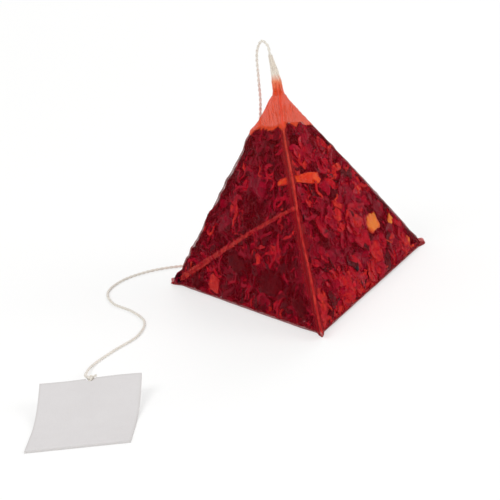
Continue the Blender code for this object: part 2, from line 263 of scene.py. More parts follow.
def tone(red: int, green: int, blue: int) -> Colour:
    """Linear colour of a paint value from 0 to 255."""
    return tuple(
        part / 12.92 if part <= 0.04045 else ((part + 0.055) / 1.055) ** 2.4
        for part in (red / 255.0, green / 255.0, blue / 255.0))


class Recipe:
    """A new material, with short ways to add nodes to it and to join them."""

    def __init__(self, name: str) -> None:
        """Start the material with its main shader."""
        self.material = bpy.data.materials.new(name)
        self.material.use_nodes = True
        self.tree = self.material.node_tree
        self.shader = self.tree.nodes["Principled BSDF"]

    def constant(self, **values: object) -> None:
        """Set the main shader's own values, named as its sockets with _ for a blank."""
        for name, value in values.items():
            self.shader.inputs[name.replace("_", " ")].default_value = value

    def feed(self, name: str, source: Socket) -> None:
        """Join a socket to one of the main shader's inputs."""
        self.tree.links.new(source, self.shader.inputs[name])

    def node(self, kind: str, **settings: object) -> bpy.types.Node:
        """Add a node.

        Args:
            kind: Blender's name for the node.
            settings: values for the node's own fields.

        Returns:
            The new node.
        """
        made = self.tree.nodes.new(kind)
        for name, value in settings.items():
            setattr(made, name, value)
        return made

    def put(self, target: Socket, value: object) -> None:
        """Give an input a value or join another node's output to it.

        Args:
            target: the input.
            value: a number, a colour, or the output to join.
        """
        if isinstance(value, Socket):
            self.tree.links.new(value, target)
        else:
            target.default_value = value

    def math(self, operation: str, *values: object) -> Socket:
        """Work out one number from others.

        Args:
            operation: Blender's name for the sum.
            values: numbers or outputs to work on.

        Returns:
            The output with the result.
        """
        made = self.node("ShaderNodeMath", operation=operation)
        for index, value in enumerate(values):
            self.put(made.inputs[index], value)
        return made.outputs[0]

    def span(self, value: Socket, low: float, high: float, start: float, end: float) -> Socket:
        """Map a number from one span to another, smoothly.

        Args:
            value: the number.
            low: where its span starts.
            high: where its span ends.
            start: the result at low and below.
            end: the result at high and above.

        Returns:
            The output with the result.
        """
        made = self.node("ShaderNodeMapRange", interpolation_type="SMOOTHSTEP")
        for index, entry in enumerate((value, low, high, start, end)):
            self.put(made.inputs[index], entry)
        return made.outputs[0]

    def blend(self, factor: Socket, first: Colour | Socket, second: Colour | Socket) -> Socket:
        """Mix two colours.

        Args:
            factor: share of the second one.
            first: the colour at 0.
            second: the colour at 1.

        Returns:
            The output with the mixed colour.
        """
        made = self.node("ShaderNodeMix", data_type="RGBA")
        self.put(made.inputs[0], factor)
        for index, entry in ((6, first), (7, second)):
            self.put(made.inputs[index], entry if isinstance(entry, Socket) else (*entry, 1.0))
        return made.outputs[2]

    def ramp(self, factor: Socket, stops: Sequence[tuple[float, Colour]]) -> Socket:
        """Turn a number into a colour through a row of stops.

        Args:
            factor: the number.
            stops: the place and the colour of each stop.

        Returns:
            The output with the colour.
        """
        made = self.node("ShaderNodeValToRGB")
        entries = made.color_ramp.elements
        while len(entries) < len(stops):
            entries.new(0.5)
        for entry, (place, colour) in zip(entries, stops):
            entry.position = place
            entry.color = (*colour, 1.0)
        self.tree.links.new(factor, made.inputs[0])
        return made.outputs[0]

    def kept(self, name: str) -> Socket:
        """The number that a piece keeps for each vertex."""
        return self.node("ShaderNodeAttribute", attribute_name=name).outputs["Fac"]

    def object_place(self) -> Socket:
        """Place in the part's own frame."""
        return self.node("ShaderNodeTexCoord").outputs["Object"]

    def fabric_place(self) -> Socket:
        """Place on the piece's own map."""
        return self.node("ShaderNodeUVMap", uv_map=FABRIC_MAP).outputs["UV"]

    def scaled(self, place: Socket, scale: tuple[float, float, float]) -> Socket:
        """A place with each of its parts multiplied.

        Args:
            place: the place.
            scale: what each part is multiplied by.

        Returns:
            The output with the new place.
        """
        made = self.node("ShaderNodeVectorMath", operation="MULTIPLY")
        self.put(made.inputs[0], place)
        made.inputs[1].default_value = scale
        return made.outputs[0]

    def speckle(self, place: Socket, size: float, detail: float = 2.0, distortion: float = 0.0) -> Socket:
        """Soft noise.

        Args:
            place: where it is looked up.
            size: about how large its lumps are.
            detail: how many finer layers it has.
            distortion: how far it is swirled.

        Returns:
            The output with the noise, from 0 to 1.
        """
        made = self.node("ShaderNodeTexNoise", noise_dimensions="3D")
        self.put(made.inputs["Vector"], place)
        made.inputs["Scale"].default_value = 1.0 / size
        made.inputs["Detail"].default_value = detail
        made.inputs["Distortion"].default_value = distortion
        return made.outputs[0]

    def cells(self, place: Socket, size: float, feature: str = "F1") -> Socket:
        """Distance inside a pattern of cells.

        Args:
            place: where it is looked up.
            size: about how large its cells are.
            feature: Blender's name for what the distance is measured to.

        Returns:
            The output with the distance.
        """
        made = self.node("ShaderNodeTexVoronoi", feature=feature)
        self.put(made.inputs["Vector"], place)
        made.inputs["Scale"].default_value = 1.0 / size
        return made.outputs["Distance"]

    def bump(self, height: Socket, distance: float, strength: float) -> None:
        """Roughen the surface by a height, on top of what roughens it already.

        Args:
            height: the height, from 0 to 1.
            distance: how high 1 stands.
            strength: share of the effect.
        """
        made = self.node("ShaderNodeBump")
        made.inputs["Strength"].default_value = strength
        made.inputs["Distance"].default_value = distance
        self.put(made.inputs["Height"], height)
        before = self.shader.inputs["Normal"].links
        if before:
            self.put(made.inputs["Normal"], before[0].from_socket)
        self.feed("Normal", made.outputs[0])


@dataclass(frozen=True)
class GauzeFinish:
    """Woven film stained by the infusion: red below, coral near the top and cream at the tail."""

    pitch: float = 0.00031
    cover: float = 0.32
    yarn_blur: float = 0.08
    hole_alpha: float = 0.005
    yarn_alpha: float = 0.16
    film_alpha: float = 0.03
    sealed_alpha: float = 0.50
    upper_alpha: float = 0.60
    upper_hole_share: float = 0.65
    gathered_alpha: float = 0.90
    soaked_alpha: float = 0.84
    film_size: float = 0.0045
    mottle_size: float = 0.0030
    press_size: float = 0.0012
    ragged_size: float = 0.0009
    body: Colour = tone(176, 8, 30)
    soaked: Colour = tone(124, 5, 22)
    upper: Colour = tone(254, 90, 50)
    pale: Colour = tone(242, 146, 110)
    cream: Colour = tone(240, 230, 216)
    seal: Colour = tone(204, 34, 44)
    seal_light: Colour = tone(240, 92, 70)

    def make(self, name: str, map_width: float) -> bpy.types.Material:
        """Make the material.

        Args:
            name: the material's name.
            map_width: real width that the fabric map's unit stands for.

        Returns:
            The new material.
        """
        recipe = Recipe(name)
        place = recipe.object_place()
        yarn = self.weave(recipe, map_width)
        pressed = recipe.speckle(place, self.press_size, 2.0, 0.5)
        ragged = recipe.math("MULTIPLY_ADD", recipe.speckle(place, self.ragged_size, 3.0), 0.5, -0.25)
        empty = recipe.span(recipe.math("ADD", recipe.kept("empty"), ragged), 0.35, 0.65, 0.0, 1.0)
        soaked = recipe.math("MULTIPLY", recipe.kept("soaked"), recipe.math("SUBTRACT", 1.0, empty))
        colour = self.stain(recipe, place, pressed, empty, soaked)
        recipe.feed("Alpha", self.veil(recipe, place, yarn, pressed, empty, soaked))
        recipe.feed("Base Color", colour)
        recipe.feed("Specular Tint", colour)
        recipe.constant(Roughness=0.50, Specular_IOR_Level=0.10)
        recipe.bump(yarn, self.pitch * 0.3, 0.6)
        return recipe.material

    def weave(self, recipe: Recipe, map_width: float) -> Socket:
        """Draw the yarns on the fabric map.

        Args:
            recipe: the material.
            map_width: real width that the fabric map's unit stands for.

        Returns:
            1 on a yarn and 0 in a hole.
        """
        scale = map_width / self.pitch
        half = self.cover * 0.5
        parts = recipe.node("ShaderNodeSeparateXYZ")
        recipe.put(parts.inputs[0], recipe.scaled(recipe.fabric_place(), (scale, scale, 1.0)))
        yarns = []
        for side in (0, 1):
            away = recipe.math("PINGPONG", parts.outputs[side], 0.5)
            yarns.append(recipe.span(away, half - self.yarn_blur, half + self.yarn_blur, 1.0, 0.0))
        return recipe.math("MAXIMUM", *yarns)

    def veil(self, recipe: Recipe, place: Socket, yarn: Socket, pressed: Socket, empty: Socket,
             soaked: Socket) -> Socket:
        """Work out how much the gauze hides: the most that its weave, seals and stains hide.

        Args:
            recipe: the material.
            place: place in the part's frame.
            yarn: where the yarns are.
            pressed: the pattern that the seals are pressed in.
            empty: where no fill lies behind the gauze.
            soaked: where liquid stays in a crease.

        Returns:
            The share that is hidden.
        """
        film = recipe.span(recipe.speckle(place, self.film_size, 3.0), 0.52, 0.70, 0.0, self.film_alpha)
        alpha = recipe.math("MULTIPLY_ADD", yarn, self.yarn_alpha - self.hole_alpha, self.hole_alpha)
        alpha = recipe.math("ADD", alpha, film)
        dyed = recipe.math("MULTIPLY_ADD", yarn, 1.0 - self.upper_hole_share, self.upper_hole_share)
        sealed = recipe.math("MULTIPLY", recipe.kept("sealed"), self.sealed_alpha)
        layers = (
            recipe.math("MULTIPLY", recipe.math("MULTIPLY", empty, self.upper_alpha), dyed),
            recipe.math("MULTIPLY", recipe.kept("gathered"), self.gathered_alpha),
            recipe.math("MULTIPLY", soaked, self.soaked_alpha),
            recipe.math("MULTIPLY", sealed, recipe.span(pressed, 0.30, 0.70, 0.58, 1.10)),
        )
        for layer in layers:
            alpha = recipe.math("MAXIMUM", alpha, layer)
        return alpha

    def stain(self, recipe: Recipe, place: Socket, pressed: Socket, empty: Socket,
              soaked: Socket) -> Socket:
        """Work out the gauze's colour.

        Args:
            recipe: the material.
            place: place in the part's frame.
            pressed: the pattern that the seals are pressed in.
            empty: where no fill lies behind the gauze.
            soaked: where liquid stays in a crease.

        Returns:
            The colour.
        """
        height = recipe.kept("height")
        mottled = recipe.math("MULTIPLY_ADD", recipe.speckle(place, self.mottle_size, 3.0), 0.06, -0.03)
        rise = recipe.math("ADD", height, mottled)
        colour = recipe.ramp(rise, ((0.86, self.upper), (0.895, self.pale), (0.93, self.cream)))
        colour = recipe.blend(empty, self.body, colour)
        colour = recipe.blend(soaked, colour, self.soaked)
        seal = recipe.blend(recipe.span(pressed, 0.35, 0.70, 0.0, 0.55), self.seal, self.seal_light)
        seal = recipe.blend(recipe.span(height, 0.40, 0.80, 0.0, 0.85), seal, self.seal_light)
        below_tail = recipe.span(height, 0.80, 0.92, 0.85, 0.0)
        return recipe.blend(recipe.math("MULTIPLY", recipe.kept("sealed"), below_tail), colour, seal)


class Finish:
    """A finish whose material is worked out from the part's own places alone."""

    def paint(self, recipe: Recipe) -> None:
        """Lay out the material.

        Args:
            recipe: the material.
        """
        raise NotImplementedError

    def make(self, name: str) -> bpy.types.Material:
        """Make the material.

        Args:
            name: the material's name.

        Returns:
            The new material.
        """
        recipe = Recipe(name)
        self.paint(recipe)
        return recipe.material


@dataclass(frozen=True)
class LeafFinish(Finish):
    """Wet shreds of dark fruit and leaf, each in its own shade; on the shreds and the heap that shade also
    holds painted shade and painted light.
    """

    shades: tuple[tuple[float, Colour], ...] = (
        (0.0, tone(12, 1, 8)), (0.20, tone(44, 1, 14)), (0.46, tone(104, 2, 28)), (0.68, tone(156, 6, 40)),
        (0.84, tone(196, 22, 36)), (1.0, tone(240, 84, 48)))
    vein: Colour = tone(24, 1, 9)
    gloss: Colour = (0.90, 0.07, 0.10)
    grain: float = 0.0011
    vein_cell: float = 0.0016
    roughness: float = 0.42

    def paint(self, recipe: Recipe) -> None:
        """Lay out the material.

        Args:
            recipe: the material.
        """
        place = recipe.object_place()
        mottled = recipe.speckle(place, self.grain, 4.0, 0.6)
        shade = recipe.math("MULTIPLY_ADD", mottled, 0.30, -0.15)
        # The kept shade: each piece's own tone, and on the shreds and the heap also painted shade by depth
        # and painted light on the right face
        shade = recipe.math("ADD", shade, recipe.kept("shade"))
        colour = recipe.ramp(shade, self.shades)
        lines = recipe.span(recipe.cells(place, self.vein_cell, "DISTANCE_TO_EDGE"), 0.0, 0.10, 0.45, 0.0)
        recipe.feed("Base Color", recipe.blend(lines, colour, self.vein))
        recipe.feed("Roughness", recipe.span(mottled, 0.35, 0.65, self.roughness - 0.1, self.roughness + 0.2))
        recipe.constant(Specular_IOR_Level=0.12, Specular_Tint=(*self.gloss, 1.0))
        recipe.bump(mottled, 0.00025, 0.7)


@dataclass(frozen=True)
class PeelFinish(Finish):
    """Candied-looking orange peel: dimpled rind, stained at its edges."""

    rind: Colour = tone(255, 156, 58)
    deep: Colour = tone(250, 116, 40)
    stained: Colour = tone(206, 44, 38)
    mottle: float = 0.0014
    dimple: float = 0.0007

    def paint(self, recipe: Recipe) -> None:
        """Lay out the material.

        Args:
            recipe: the material.
        """
        place = recipe.object_place()
        mottled = recipe.speckle(place, self.mottle, 3.0, 0.4)
        colour = recipe.blend(recipe.span(mottled, 0.40, 0.62, 0.0, 1.0), self.rind, self.deep)
        rim = recipe.span(recipe.kept("rim"), 0.70, 1.0, 0.0, 0.8)
        recipe.feed("Base Color", recipe.blend(rim, colour, self.stained))
        pores = recipe.cells(place, self.dimple)
        recipe.constant(Roughness=0.38, Subsurface_Weight=0.15, Subsurface_Scale=0.0006,
                        Subsurface_Radius=(1.0, 0.45, 0.2), Specular_IOR_Level=0.35,
                        Specular_Tint=(*self.deep, 1.0))
        recipe.bump(recipe.span(pores, 0.0, 0.5, 0.0, 1.0), 0.00012, 0.8)


@dataclass(frozen=True)
class FleshFinish(Finish):
    """Translucent wet petal or fruit flesh with fine veins."""

    bright: Colour
    dark: Colour
    vein: Colour
    gloss: Colour
    scatter: float
    mottle: float = 0.0016

    def paint(self, recipe: Recipe) -> None:
        """Lay out the material.

        Args:
            recipe: the material.
        """
        place = recipe.object_place()
        mottled = recipe.speckle(place, self.mottle, 4.0, 0.8)
        colour = recipe.blend(recipe.span(mottled, 0.36, 0.64, 0.0, 1.0), self.bright, self.dark)
        along = recipe.scaled(recipe.fabric_place(), (5.0, 26.0, 1.0))
        veins = recipe.span(recipe.speckle(along, 1.0, 2.0, 0.5), 0.50, 0.62, 0.0, 0.6)
        colour = recipe.blend(veins, colour, self.vein)
        rim = recipe.span(recipe.kept("rim"), 0.78, 1.0, 0.0, 0.5)
        recipe.feed("Base Color", recipe.blend(rim, colour, self.vein))
        recipe.constant(Roughness=0.38, Subsurface_Weight=self.scatter, Subsurface_Scale=0.0005,
                        Subsurface_Radius=(1.0, 0.25, 0.2), Specular_IOR_Level=0.15,
                        Specular_Tint=(*self.gloss, 1.0))
        recipe.bump(veins, 0.00010, 0.6)
        recipe.bump(mottled, 0.00015, 0.5)


@dataclass(frozen=True)
class CottonFinish(Finish):
    """Undyed cotton, tinged where it touches the wet pouch."""

    cotton: Colour = tone(238, 233, 224)
    shadow: Colour = tone(206, 198, 186)
    tinged: Colour = tone(222, 150, 142)
    patch: float = 0.004

    def paint(self, recipe: Recipe) -> None:
        """Lay out the material.

        Args:
            recipe: the material.
        """
        place = recipe.object_place()
        fibre = recipe.speckle(recipe.scaled(recipe.fabric_place(), (60.0, 900.0, 1.0)), 1.0, 3.0, 0.3)
        colour = recipe.blend(recipe.span(fibre, 0.35, 0.65, 0.0, 0.8), self.cotton, self.shadow)
        patches = recipe.span(recipe.speckle(place, self.patch, 2.0), 0.35, 0.60, 0.35, 1.0)
        wet = recipe.math("MULTIPLY", recipe.kept("tinge"), patches)
        recipe.feed("Base Color", recipe.blend(wet, colour, self.tinged))
        recipe.constant(Roughness=0.85, Sheen_Weight=0.3, Sheen_Roughness=0.5)
        recipe.bump(fibre, 0.00005, 0.7)


@dataclass(frozen=True)
class CardFinish(Finish):
    """Uncoated light grey card with a fibrous face and worn edges."""

    face: Colour = tone(213, 210, 210)
    fibre: Colour = tone(203, 199, 199)
    worn: Colour = tone(205, 202, 201)
    cloud_size: float = 0.0035
    hair_size: float = 0.00045

    def paint(self, recipe: Recipe) -> None:
        """Lay out the material.

        Args:
            recipe: the material.
        """
        place = recipe.object_place()
        cloud = recipe.speckle(place, self.cloud_size, 4.0)
        hair = recipe.speckle(recipe.scaled(place, (1.0, 0.28, 1.0)), self.hair_size, 3.0, 1.2)
        colour = recipe.blend(recipe.span(cloud, 0.35, 0.65, 0.0, 0.15), self.face, self.fibre)
        colour = recipe.blend(recipe.span(hair, 0.56, 0.70, 0.0, 0.22), colour, self.fibre)
        recipe.feed("Base Color", recipe.blend(recipe.kept("rim"), colour, self.worn))
        recipe.constant(Roughness=0.82, Specular_IOR_Level=0.3)
        recipe.bump(hair, 0.00003, 0.4)


# The folded pouch

class Face(Enum):
    """The pouch's side faces, as (lean across, lean up the seal)."""

    LEFT = (-1.0, 0.0)
    RIGHT = (1.0, 0.0)
    BACK = (0.0, 1.0)
    BASE = (0.0, -1.0)


class SkinPoint(NamedTuple):
    """One point of the tube's section."""

    across: float
    up: float
    lean_across: float
    lean_up: float
    girth: float
    lap: float

    @property
    def on_side(self) -> bool:
        """Whether the place is on a side face, and not on the back or the base."""
        return abs(self.lean_across) >= abs(self.lean_up)


@dataclass(frozen=True)
class PouchForm:
    """Shape of the folded tube, worked out from the frame."""

    edge: float
    base_y: float
    fold_radius: float = 0.0013
    seal_width: float = 0.0028
    seal_thickness: float = 0.0005
    seal_taper: float = 0.0085
    seal_tip_share: float = 0.12
    lap_width: float = 0.0007
    lap_spread: float = 0.0008
    lap_rise: float = 0.00026
    bulge: float = 0.0013
    lump_height: float = 0.0005
    lump_size: float = 0.0060
    fine_height: float = 0.00030
    fine_size: float = 0.0024
    finer_height: float = 0.00012
    finer_size: float = 0.0011
    fold_lump: float = 0.0012
    fold_lump_reach: float = 0.0025
    sag: float = 0.00040
    crest_rise: float = 6.0
    gather_depth: float = 0.00022
    gather_turns: float = 2.4
    pucker_depth: float = 0.00022
    pucker_reach: float = 0.0035
    pucker_pitch: float = 0.0027
    seam_bow: float = 0.0006
    fill_height: float = 0.0355
    fill_shift: float = -0.0003
    fill_slope: float = -0.26
    fill_roughness: float = 0.0016
    fill_grain: float = 0.0030
    fill_fade: tuple[float, float] = (-0.004, 0.003)
    tail_length: float = 0.0085
    tail_root_depth: float = 0.0032
    edge_softness: float = 0.00045
    tuck_share: float = 0.8

    across_axis: ClassVar[Vector] = Vector((1.0, 0.0, 0.0))
    up_axis: ClassVar[Vector] = Vector((0.0, 1.0 / math.sqrt(3.0), math.sqrt(2.0 / 3.0)))
    tube_axis: ClassVar[Vector] = Vector((0.0, math.sqrt(2.0 / 3.0), -1.0 / math.sqrt(3.0)))
    tail_axis: ClassVar[Vector] = Vector((-0.10, 0.14, 1.0)).normalized()

    @classmethod
    def from_frame(cls) -> "PouchForm":
        """Read the pouch's edge and place from its solid.

        Returns:
            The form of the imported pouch.
        """
        low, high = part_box("gauze_pouch")
        edge = high.x - low.x
        reach = edge / math.sqrt(3.0) + cls.seal_width * cls.tube_axis.y
        return cls(edge=edge, base_y=low.y + reach)

    @property
    def altitude(self) -> float:
        """Height of the apex over the base."""
        return self.edge * math.sqrt(2.0 / 3.0)

    @property
    def slant(self) -> float:
        """Way along the gauze from one seal to the other."""
        return self.edge * math.sqrt(3.0) / 2.0

    @property
    def apex(self) -> Vector:
        """The pyramid's top corner."""
        return Vector((0.0, self.base_y, self.altitude))

    @property
    def seal_middle(self) -> Vector:
        """Middle of the front seal."""
        return Vector((0.0, self.base_y - self.edge / (2.0 * math.sqrt(3.0)), self.altitude / 2.0))

    @property
    def tail_tip(self) -> Vector:
        """End of the gathered apex, where the thread comes out."""
        return self.apex + self.tail_axis * (self.tail_length - self.tail_root_depth)

    @cached_property
    def normals(self) -> dict[Face, Vector]:
        """Ways out of the four faces."""
        return {face: self.face_axes(face)[2] for face in Face}

    def point(self, share: float, across: float, up: float) -> Vector:
        """Place in a section of the tube.

        Args:
            share: share of the way back.
            across: way across.
            up: way up the seal.

        Returns:
            The place.
        """
        bow = self.seam_bow * (1.0 - share) ** 2 * (1.0 - min(abs(2.0 * up / self.edge), 1.0) ** 2)
        return (self.seal_middle + self.tube_axis * (self.edge / math.sqrt(2.0) * share)
                + self.across_axis * (across - bow) + self.up_axis * up)

    def fill_level(self, y: float) -> float:
        """Height of the fill's top before it is roughened: it falls towards the back."""
        return self.fill_height + self.fill_shift + self.fill_slope * (y - self.base_y)

    def fill_top(self, place: Vector) -> float:
        """Height of the fill's uneven top at a place."""
        rough = noise.noise(Vector((place.x, place.y, 0.0)) / self.fill_grain)
        return self.fill_level(place.y) + self.fill_roughness * rough

    def filled(self, height: float) -> float:
        """How much fill lies behind the gauze at a height: 1 well below the fill's top, 0 above."""
        low, high = self.fill_fade
        return 1.0 - soft_step(height, self.fill_height + low, self.fill_height + high)

    def belly(self, share: float, across: float, up: float) -> tuple[float, float]:
        """How high the faces are swollen at one place.

        Args:
            share: share of the way back.
            across: way across.
            up: way up the seal.

        Returns:
            The crest of the side faces and of the back face there, 1 at a face's middle.
        """
        if not 0.0 < share < 1.0:
            return 0.0, 0.0
        side_ratio = min(abs(up) / ((1.0 - share) * self.edge / 2.0), 1.0)
        back_ratio = min(abs(across) / (share * self.edge / 2.0), 1.0)
        side = max(27.0 * share * (1.0 - share) ** 2 * (1.0 - side_ratio ** 2) / 4.0, 0.0) ** 0.8
        back = max(27.0 * (1.0 - share) * share ** 2 * (1.0 - back_ratio ** 2) / 4.0, 0.0) ** 0.8
        return side, back

    def relief(self, share: float, spot: SkinPoint) -> float:
        """How far the gauze stands out from the flat fold at one place.

        Args:
            share: share of the way back.
            spot: the place in the section.

        Returns:
            The distance outwards, in the way that the place leans.
        """
        side, back = self.belly(share, spot.across, spot.up)
        crest, sweep = (side, spot.up) if spot.on_side else (back, spot.across)
        place = self.point(share, spot.across, spot.up)
        filled = self.filled(place.z)
        lump = self.lump_height * noise.noise(place / self.lump_size)
        fine = self.fine_height * noise.noise(place / self.fine_size)
        fine += self.finer_height * noise.noise(place / self.finer_size)
        out = filled * (self.bulge * crest + lump * math.sqrt(crest))
        out += filled * fine * min(1.0, 0.35 + crest)
        out += filled * self.near_left_fold(share, spot) * self.fold_swell(place)
        turned = 2.0 * math.pi * self.gather_turns * sweep / max((self.apex - place).length, 0.002)
        folds = math.sin(turned + 2.0 * noise.noise(place / 0.006))
        out -= (1.0 - filled) * min(1.0, crest * self.crest_rise) * (self.sag + self.gather_depth * folds)
        pucker = self.pucker(share * self.slant, spot.up, place)
        pucker += self.pucker((1.0 - share) * self.slant, spot.across, place)
        return out + pucker * min(1.0, share * (1.0 - share) * 60.0)

    def pucker(self, from_seal: float, way: float, place: Vector) -> float:
        """How far a seal puckers the gauze, at a distance from it and a way along it."""
        wave = math.sin(2.0 * math.pi * way / self.pucker_pitch + 3.0 * noise.noise(place / 0.005))
        return self.pucker_depth * math.exp(-from_seal / self.pucker_reach) * wave

    def fold_swell(self, place: Vector) -> float:
        """How far lumps of fill push out the fold from the apex to the left corner."""
        lump = noise.noise(place / 0.0038) + 0.4 * noise.noise(place / 0.0017)
        return self.fold_lump * max(lump + 0.1, 0.0)

    def near_left_fold(self, share: float, spot: SkinPoint) -> float:
        """How near a place is to the fold from the apex to the left corner.

        Args:
            share: share of the way back.
            spot: the place in the section.

        Returns:
            1 on the fold, and 0 far from it and at both seals.
        """
        if not 0.0 < share < 1.0 or spot.lean_across > 0.0 or spot.lean_up < 0.0:
            return 0.0
        if spot.on_side:
            ratio = 2.0 * spot.up / ((1.0 - share) * self.edge)
        else:
            ratio = -2.0 * spot.across / (share * self.edge)
        ends = soft_step(share, 0.04, 0.16) * (1.0 - soft_step(share, 0.84, 0.97))
        return ends * min(max(ratio, 0.0), 1.0) ** 6

    def tuck(self, place: Vector, margin: float) -> Vector:
        """Move a point that would poke out of the gauze back inside it.

        Args:
            place: the point.
            margin: how far inside the gauze it has to be.

        Returns:
            The point, moved inwards where that was needed.
        """
        filled = self.filled(place.z)
        sag = (1.0 - filled) * (self.sag + self.gather_depth)
        for _ in range(3):
            away = place - self.seal_middle
            share = min(max(away.dot(self.tube_axis) * math.sqrt(2.0) / self.edge, 0.0), 1.0)
            side, back = self.belly(share, away.x, away.dot(self.up_axis))
            from_fold = (self.seal_middle - place).dot(self.normals[Face.LEFT])
            from_fold += (self.apex - place).dot(self.normals[Face.BACK])
            nearing = math.exp(-max(from_fold, 0.0) / self.fold_lump_reach)
            lump = self.tuck_share * filled * self.fold_swell(place) * nearing
            gaps = []
            for face, on_it, crest in (
                    (Face.LEFT, self.seal_middle, side), (Face.RIGHT, self.seal_middle, side),
                    (Face.BACK, self.apex, back), (Face.BASE, Vector(), 0.0)):
                out = self.normals[face]
                swell = self.tuck_share * self.bulge * crest * filled
                swell -= sag * min(1.0, crest * self.crest_rise)
                swell += lump if face in (Face.LEFT, Face.BACK) else 0.0
                gaps.append(((on_it - place).dot(out) + swell, out))
            least = min(gap for gap, _ in gaps)
            weights = [math.exp((least - gap) / self.edge_softness) for gap, _ in gaps]
            soft = least - self.edge_softness * math.log(sum(weights))
            if soft >= margin:
                break
            push = sum((out * weight for (_, out), weight in zip(gaps, weights)), Vector()).normalized()
            place = place - push * (margin - soft)
        return place

    def skin(self, share: float, spot: SkinPoint) -> Vector:
        """Place on the swollen gauze.

        Args:
            share: share of the way back.
            spot: the place in the section.

        Returns:
            The place.
        """
        out = self.relief(share, spot)
        lap = self.lap_rise * spot.lap
        lean_up = max(spot.lean_up, 0.0)
        return self.point(share, spot.across + spot.lean_across * (out + lap), spot.up + lean_up * out)

    def face_axes(self, face: Face) -> tuple[Vector, Vector, Vector]:
        """Axes of a face.

        Args:
            face: the face.

        Returns:
            The ways along it, up or across it, and out of it.
        """
        lean_across, lean_up = face.value
        side = self.across_axis * lean_across + self.up_axis * lean_up
        turn = 1.0 if lean_across else -1.0
        along = (self.tube_axis * math.sqrt(2.0) + side * turn).normalized()
        over = self.up_axis if lean_across else self.across_axis
        out = (side * math.sqrt(2.0) - self.tube_axis * turn).normalized()
        return along, over, out

    def face_place(self, face: Face, share: float, along: float) -> Vector:
        """Point of a flat face.

        Args:
            face: the face.
            share: share of the way back.
            along: place up or across the face there, from -1 to 1.

        Returns:
            The point.
        """
        lean_across, lean_up = face.value
        half_wide = share * self.edge / 2.0
        half_tall = (1.0 - share) * self.edge / 2.0
        across = half_wide * (lean_across + abs(lean_up) * along)
        up = half_tall * (lean_up + abs(lean_across) * along)
        return (self.seal_middle + self.tube_axis * (self.edge / math.sqrt(2.0) * share)
                + self.across_axis * across + self.up_axis * up)

    def under_face(self, face: Face, place: Vector, depth: float) -> Vector:
        """Move a point of a flat face to a depth under the swollen gauze.

        Args:
            face: the face.
            place: the point.
            depth: the depth.

        Returns:
            The moved point.
        """
        away = place - self.seal_middle
        share = min(max(away.dot(self.tube_axis) * math.sqrt(2.0) / self.edge, 0.0), 1.0)
        spot = SkinPoint(away.dot(self.across_axis), away.dot(self.up_axis), *face.value, 0.0, 0.0)
        return self.skin(share, spot) - self.face_axes(face)[2] * depth


def evenly(start: float, end: float, count: int) -> list[float]:
    """Evenly spaced numbers from start up to but not including end."""
    return [start + (end - start) * index / count for index in range(count)]


